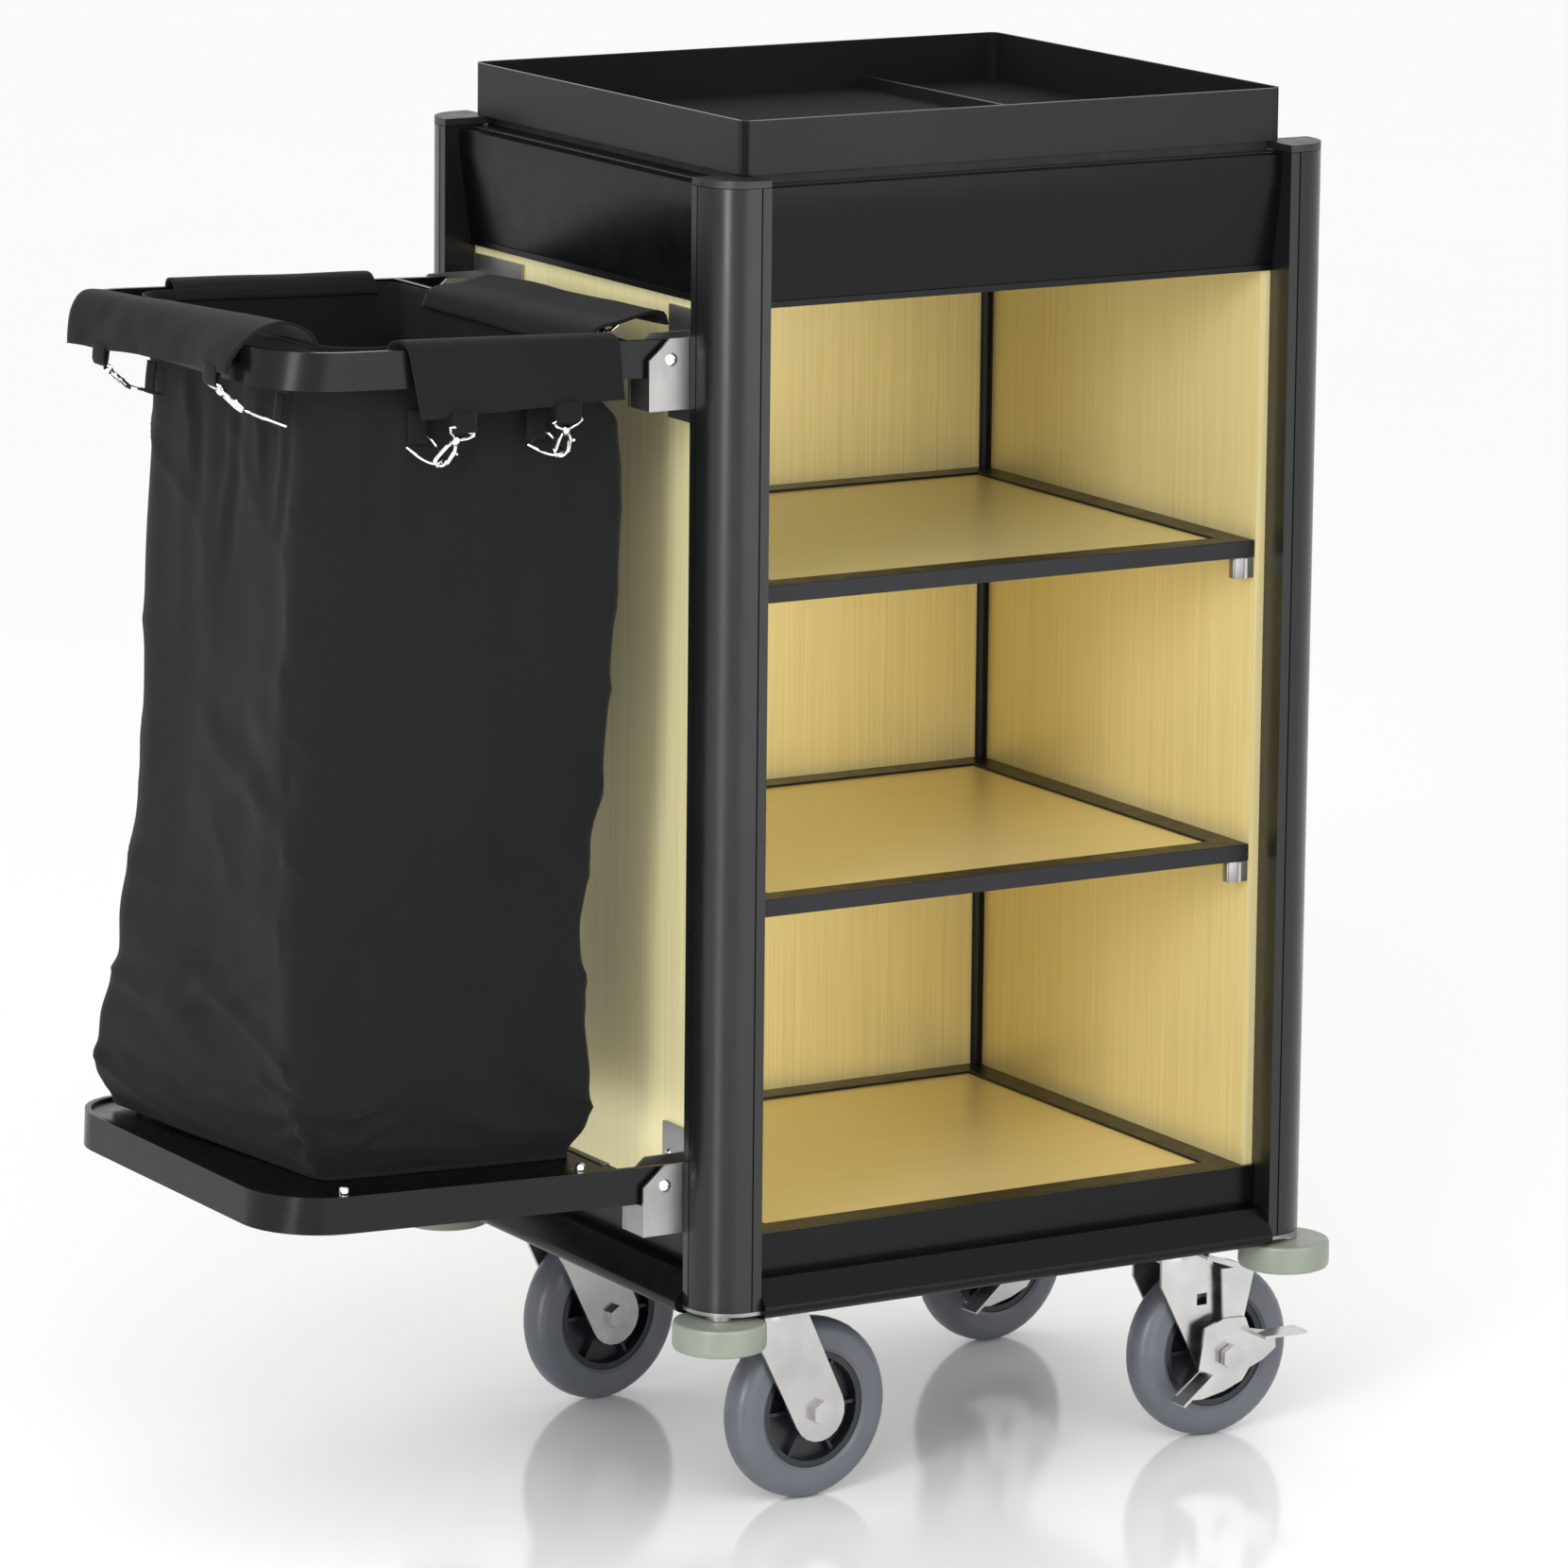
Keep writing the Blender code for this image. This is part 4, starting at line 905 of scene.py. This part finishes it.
def strap_rows(sewn, up, across, outward):
    """Rows of a strap that climbs the bag's side from its ring and closes up to the cloth."""
    rows = []
    for i in range(8):
        climb = i / 7
        lift = up * (STRAP_LENGTH * climb - 0.0015)
        stand = outward * (0.0018 * cos(climb * pi / 2))
        rows.append([sewn + across * ((k / 4 - 0.5) * STRAP_WIDTH) + lift + stand for k in range(5)])
    return rows


def build_hook(side, along, reach, seat, number):
    """Tab under the flap's hem, snap hook through it, and the bag's ring with the webbing that holds it."""
    hem = FLAPS[side][1]
    share = (along - hem[0]) / (hem[1] - hem[0])
    edge = flap_section(side, share)[-1]
    facing = {"front": 0, "back": 180, "left": -90, "cabinet": 90}[side]
    hang = Matrix.Rotation(radians(facing), 4, "Z")
    place = TO_RACK @ Matrix.Translation(flap_place(side, along, edge.x + 0.0005, edge.y)) @ hang
    name = f"{side}_{number}"
    tab = piece(f"tab_{name}", tab_mesh(TAB_WIDTH, TAB_DROP), *SEWN_ON, place)
    thicken(tab, WEBBING)

    across = (place.to_3x3() @ Vector((1, 0, 0))).normalized()
    start = place @ Vector((0, -0.0022, -TAB_DROP))
    aim = aimed(start, TO_RACK @ flap_place(side, *reach), across)
    piece(f"snap_hook_{name}", hook_mesh(), *HOOK_METAL, aim)
    tip = aim @ Vector((0, 0, -HOOK_LENGTH + 0.003))
    sewn = TO_RACK @ flap_place(side, *seat)
    ring_frame = aimed(sewn, tip, across)
    ring = ring_mesh(RING_WIDTH, (tip - sewn).length)
    piece(f"bag_ring_{name}", ring, *HOOK_METAL, ring_frame)

    up = (TO_RACK.to_3x3() @ Vector((0, 0, 1))).normalized()
    outward = (place.to_3x3() @ Vector((0, -1, 0))).normalized()
    webbing = cloth_grid(strap_rows(sewn, up, across, outward), "strap")
    strap = piece(f"ring_strap_{name}", webbing, *SEWN_ON)
    thicken(strap, WEBBING)


# -------- screws and small metal pieces
def screw_mesh(radius, dome):
    """Domed cross-head screw; its seat is at z = 0 and its head points along +Z."""
    profile = [(0, -0.0006), (radius * 0.95, -0.0006), (radius, 0.0002), (radius, dome * 0.35),
               (radius * 0.86, dome * 0.72), (radius * 0.55, dome * 0.95), (0, dome)]
    head = turned(profile, 28)
    arm, width = radius * 0.52, radius * 0.13
    slots = []
    for turn in (0, 90):
        slot = block((-arm, -width, dome * 0.45), (arm, width, dome * 2))
        slot.transform(Matrix.Rotation(radians(turn), 4, "Z"))
        slots.append(slot)
    return cut(head, slots)


def build_screw(name, at, facing, radius=0.0052, dome=0.0022, turn=35):
    """Screw on a face: at is its seat in the row frame, and facing is the way its head points."""
    aim = Vector((0, 0, 1)).rotation_difference(Vector(facing)).to_matrix().to_4x4()
    matrix = Matrix.Translation(at) @ aim @ Matrix.Rotation(radians(turn), 4, "Z")
    piece(name, screw_mesh(radius, dome), "chrome", "zinc", "cabinet", matrix)


def build_bracket_screws():
    """A pivot screw on each bracket's outer face, and two screws in its plate."""
    for level, pivot in (("upper", RACK_PIVOT), ("lower", PLATFORM_PIVOT)):
        for side, way in (("front", -1), ("back", 1)):
            low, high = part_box(f"{level}_bracket_{side}")
            face = low.y if way < 0 else high.y
            at = Vector((pivot.x, face, pivot.z))
            build_screw(f"pivot_screw_{level}_{side}", at, (0, way, 0))
            inner = high.y if way < 0 else low.y
            plate_x = high.x - 0.0025
            for number, lift in ((1, 0.006), (2, -0.04)):
                at = Vector((plate_x, inner + way * 0.01, pivot.z + lift))
                name = f"plate_screw_{level}_{side}_{number}"
                build_screw(name, at, (-1, 0, 0), 0.004, 0.0018, 12)


def build_cap_nuts():
    """Four domed nuts on the platform's board, two along each arm of its frame."""
    profile = [(0, 0), (0.004, 0), (0.004, 0.006), (0.0034, 0.0074), (0.0018, 0.0084), (0, 0.0086)]
    for number, x in ((1, -0.279), (2, -0.067)):
        for side, way in (("front", -1), ("back", 1)):
            at = TO_PLATFORM @ Vector((x, way * (RACK_SIDE - 0.0135), BOARD_TOP))
            matrix = Matrix.Translation(at) @ Matrix.Rotation(RACK_TILT, 4, "Y")
            piece(f"cap_nut_{side}_{number}", turned(profile, 20), "chrome", "zinc", "platform", matrix)


def build_board_edge():
    """Folded bright strip on the platform board's inner end."""
    half = RACK_SIDE - 0.03
    edge = BOARD_END + 0.001
    over = block((BOARD_END - 0.006, -half, BOARD_TOP + 0.0001), (edge, half, BOARD_TOP + 0.001), 0.0003)
    down = block((BOARD_END + 0.0002, -half, BOARD_TOP - 0.004), (edge, half, BOARD_TOP + 0.0006), 0.0003)
    mesh = joined([over, down], "board_edge")
    piece("platform_board_edge", mesh, "stainless", "stainless", "platform", TO_PLATFORM)


def clip_mesh():
    """Small pressed clip under a shelf's front corner: a plate with a round rib and a foot."""
    plate = block((-0.01, -0.0012, -0.017), (0.008, 0.0, 0.0), 0.0004)
    rib = wire([Vector((0.0005, -0.0012, -0.0168)), Vector((0.0005, -0.0012, -0.0002))], 0.0022, sides=12)
    foot = block((-0.0115, -0.0005, -0.0165), (-0.0095, 0.006, -0.001), 0.0004)
    return joined([plate, rib, foot], "clip")


def build_clips():
    """A clip and a screw under the right front corner of the two upper shelves."""
    for shelf in ("upper", "lower"):
        low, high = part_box(f"{shelf}_shelf_frame")
        x = high.x - 0.0085
        matrix = Matrix.Translation((x, low.y + 0.0015, low.z - 0.0002))
        piece(f"shelf_clip_{shelf}", clip_mesh(), "stainless", "stainless", "cabinet", matrix)
        spot = Vector((x - 0.012, low.y + 0.008, low.z))
        build_screw(f"shelf_screw_{shelf}", spot, (0, 0, -1), 0.0024, 0.0012, 0)


def corner_trim_mesh(low_z, high_z, way):
    """Moulded angle for an inner corner: two thin flanges, and a hollow quarter round between them."""
    leg, wall, radius = 0.0075, 0.0014, 0.0045
    outline = [(0, 0), (leg, 0), (leg, wall)]
    for step in range(5):
        angle = radians(270 - 90 * step / 4)
        outline.append((wall + radius + radius * cos(angle), wall + radius + radius * sin(angle)))
    outline += [(wall, leg), (0, leg)]
    work = bmesh.new()
    rings = []
    for height in (low_z, high_z):
        rings.append([work.verts.new((-way * x, -y, height)) for x, y in outline])
    work.faces.new(rings[0])
    work.faces.new(rings[1])
    for i in range(len(outline)):
        j = (i + 1) % len(outline)
        work.faces.new((rings[0][i], rings[0][j], rings[1][j], rings[1][i]))
    return mesh_of(work, "corner_trim")


def build_trims():
    """Black angles in the back corners of the three bays, and caps on the panels' top edges."""
    back_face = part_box("back_panel")[0].y
    trim = ("black_trim", "black_trim", "cabinet")  # finish, slot and body
    floors = [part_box(f"{shelf}_shelf_frame") for shelf in ("bottom", "lower", "upper")]
    ceilings = [floors[1][0].z, floors[2][0].z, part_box("top_board")[0].z]
    corners = {"left": (-1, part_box("left_panel")[1].x), "right": (1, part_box("right_panel")[0].x)}
    for side, (way, x) in corners.items():
        for bay, ((_, floor), ceiling) in enumerate(zip(floors, ceilings), 1):
            mesh = corner_trim_mesh(floor.z + 0.0001, ceiling - 0.0001, way)
            place = Matrix.Translation((x - way * 0.0001, back_face - 0.0001, 0))
            piece(f"corner_trim_{side}_{bay}", mesh, *trim, place, smooth=False)
    for side in ("left", "right", "back"):
        low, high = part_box(f"{side}_panel")
        start = (low.x - 0.0004, low.y, high.z + 0.0001)
        end = (high.x + 0.0004, high.y, high.z + 0.0012)
        piece(f"panel_cap_{side}", block(start, end, 0.0003), *trim, smooth=False)


# -------- floor, light and camera
def build_floor():
    """A wide pale disc just under the casters."""
    work = bmesh.new()
    bmesh.ops.create_circle(work, cap_ends=True, radius=60, segments=96)
    floor = bpy.data.objects.new("studio_floor", mesh_of(work, "studio_floor"))
    floor.location.z = -0.0005
    floor.data.materials.append(floor_finish())
    bpy.context.scene.collection.objects.link(floor)


def area_light(name, at, aim, size, power):
    """Soft rectangular light at one place, turned to another."""
    light = bpy.data.lights.new(name, "AREA")
    light.shape = "RECTANGLE"
    light.size, light.size_y = size
    light.energy = power
    lamp = bpy.data.objects.new(name, light)
    lamp.location = at
    lamp.rotation_euler = (Vector(aim) - Vector(at)).to_track_quat("-Z", "Y").to_euler()
    bpy.context.scene.collection.objects.link(lamp)


def build_light():
    """White surroundings and three soft lights."""
    world = bpy.data.worlds.new("studio")
    world.use_nodes = True
    world.node_tree.nodes["Background"].inputs["Color"].default_value = (1, 1, 1, 1)
    world.node_tree.nodes["Background"].inputs["Strength"].default_value = 1.0
    bpy.context.scene.world = world
    area_light("key", (-2.6, -3.4, 3.2), (0, 0, 0.6), (2.4, 2.4), 60)
    area_light("strip", (-3.6, -2.3, 1.5), (-0.1, -0.2, 0.65), (0.9, 2.4), 84)
    area_light("front", (0.9, -4.6, 1.3), (0.25, 0, 0.6), (4.2, 2.8), 72)
    bpy.context.scene.view_settings.view_transform = "Standard"


def build_camera():
    """Long lens in front of the cart, a little to its left and above it, looking slightly down."""
    camera = bpy.data.cameras.new("camera")
    camera.sensor_width = 36
    camera.lens = 194.4
    camera.shift_x = -0.0373
    camera.shift_y = -0.0873
    camera.clip_end = 200
    eye = bpy.data.objects.new("camera", camera)
    yaw, pitch, roll = radians(31.221), radians(10.655), radians(0.67)
    ahead = Vector((sin(yaw) * cos(pitch), cos(yaw) * cos(pitch), -sin(pitch)))
    right = Vector((cos(yaw), -sin(yaw), 0))
    up = right.cross(ahead)
    tipped_right = cos(roll) * right + sin(roll) * up
    tipped_up = cos(roll) * up - sin(roll) * right
    turn = Matrix((tipped_right, tipped_up, -ahead)).transposed().to_4x4()
    eye.matrix_world = Matrix.Translation((-3.4207, -5.8811, 1.9595)) @ turn
    bpy.context.scene.collection.objects.link(eye)
    bpy.context.scene.camera = eye


# -------- build
paint_frame()
build_bag()
for side in FLAPS:
    build_flap(side)
for number, (side, along, reach, seat) in enumerate(HOOKS, 1):
    build_hook(side, along, reach, seat, number)
build_bracket_screws()
build_cap_nuts()
build_board_edge()
build_clips()
build_trims()
build_floor()
build_light()
build_camera()
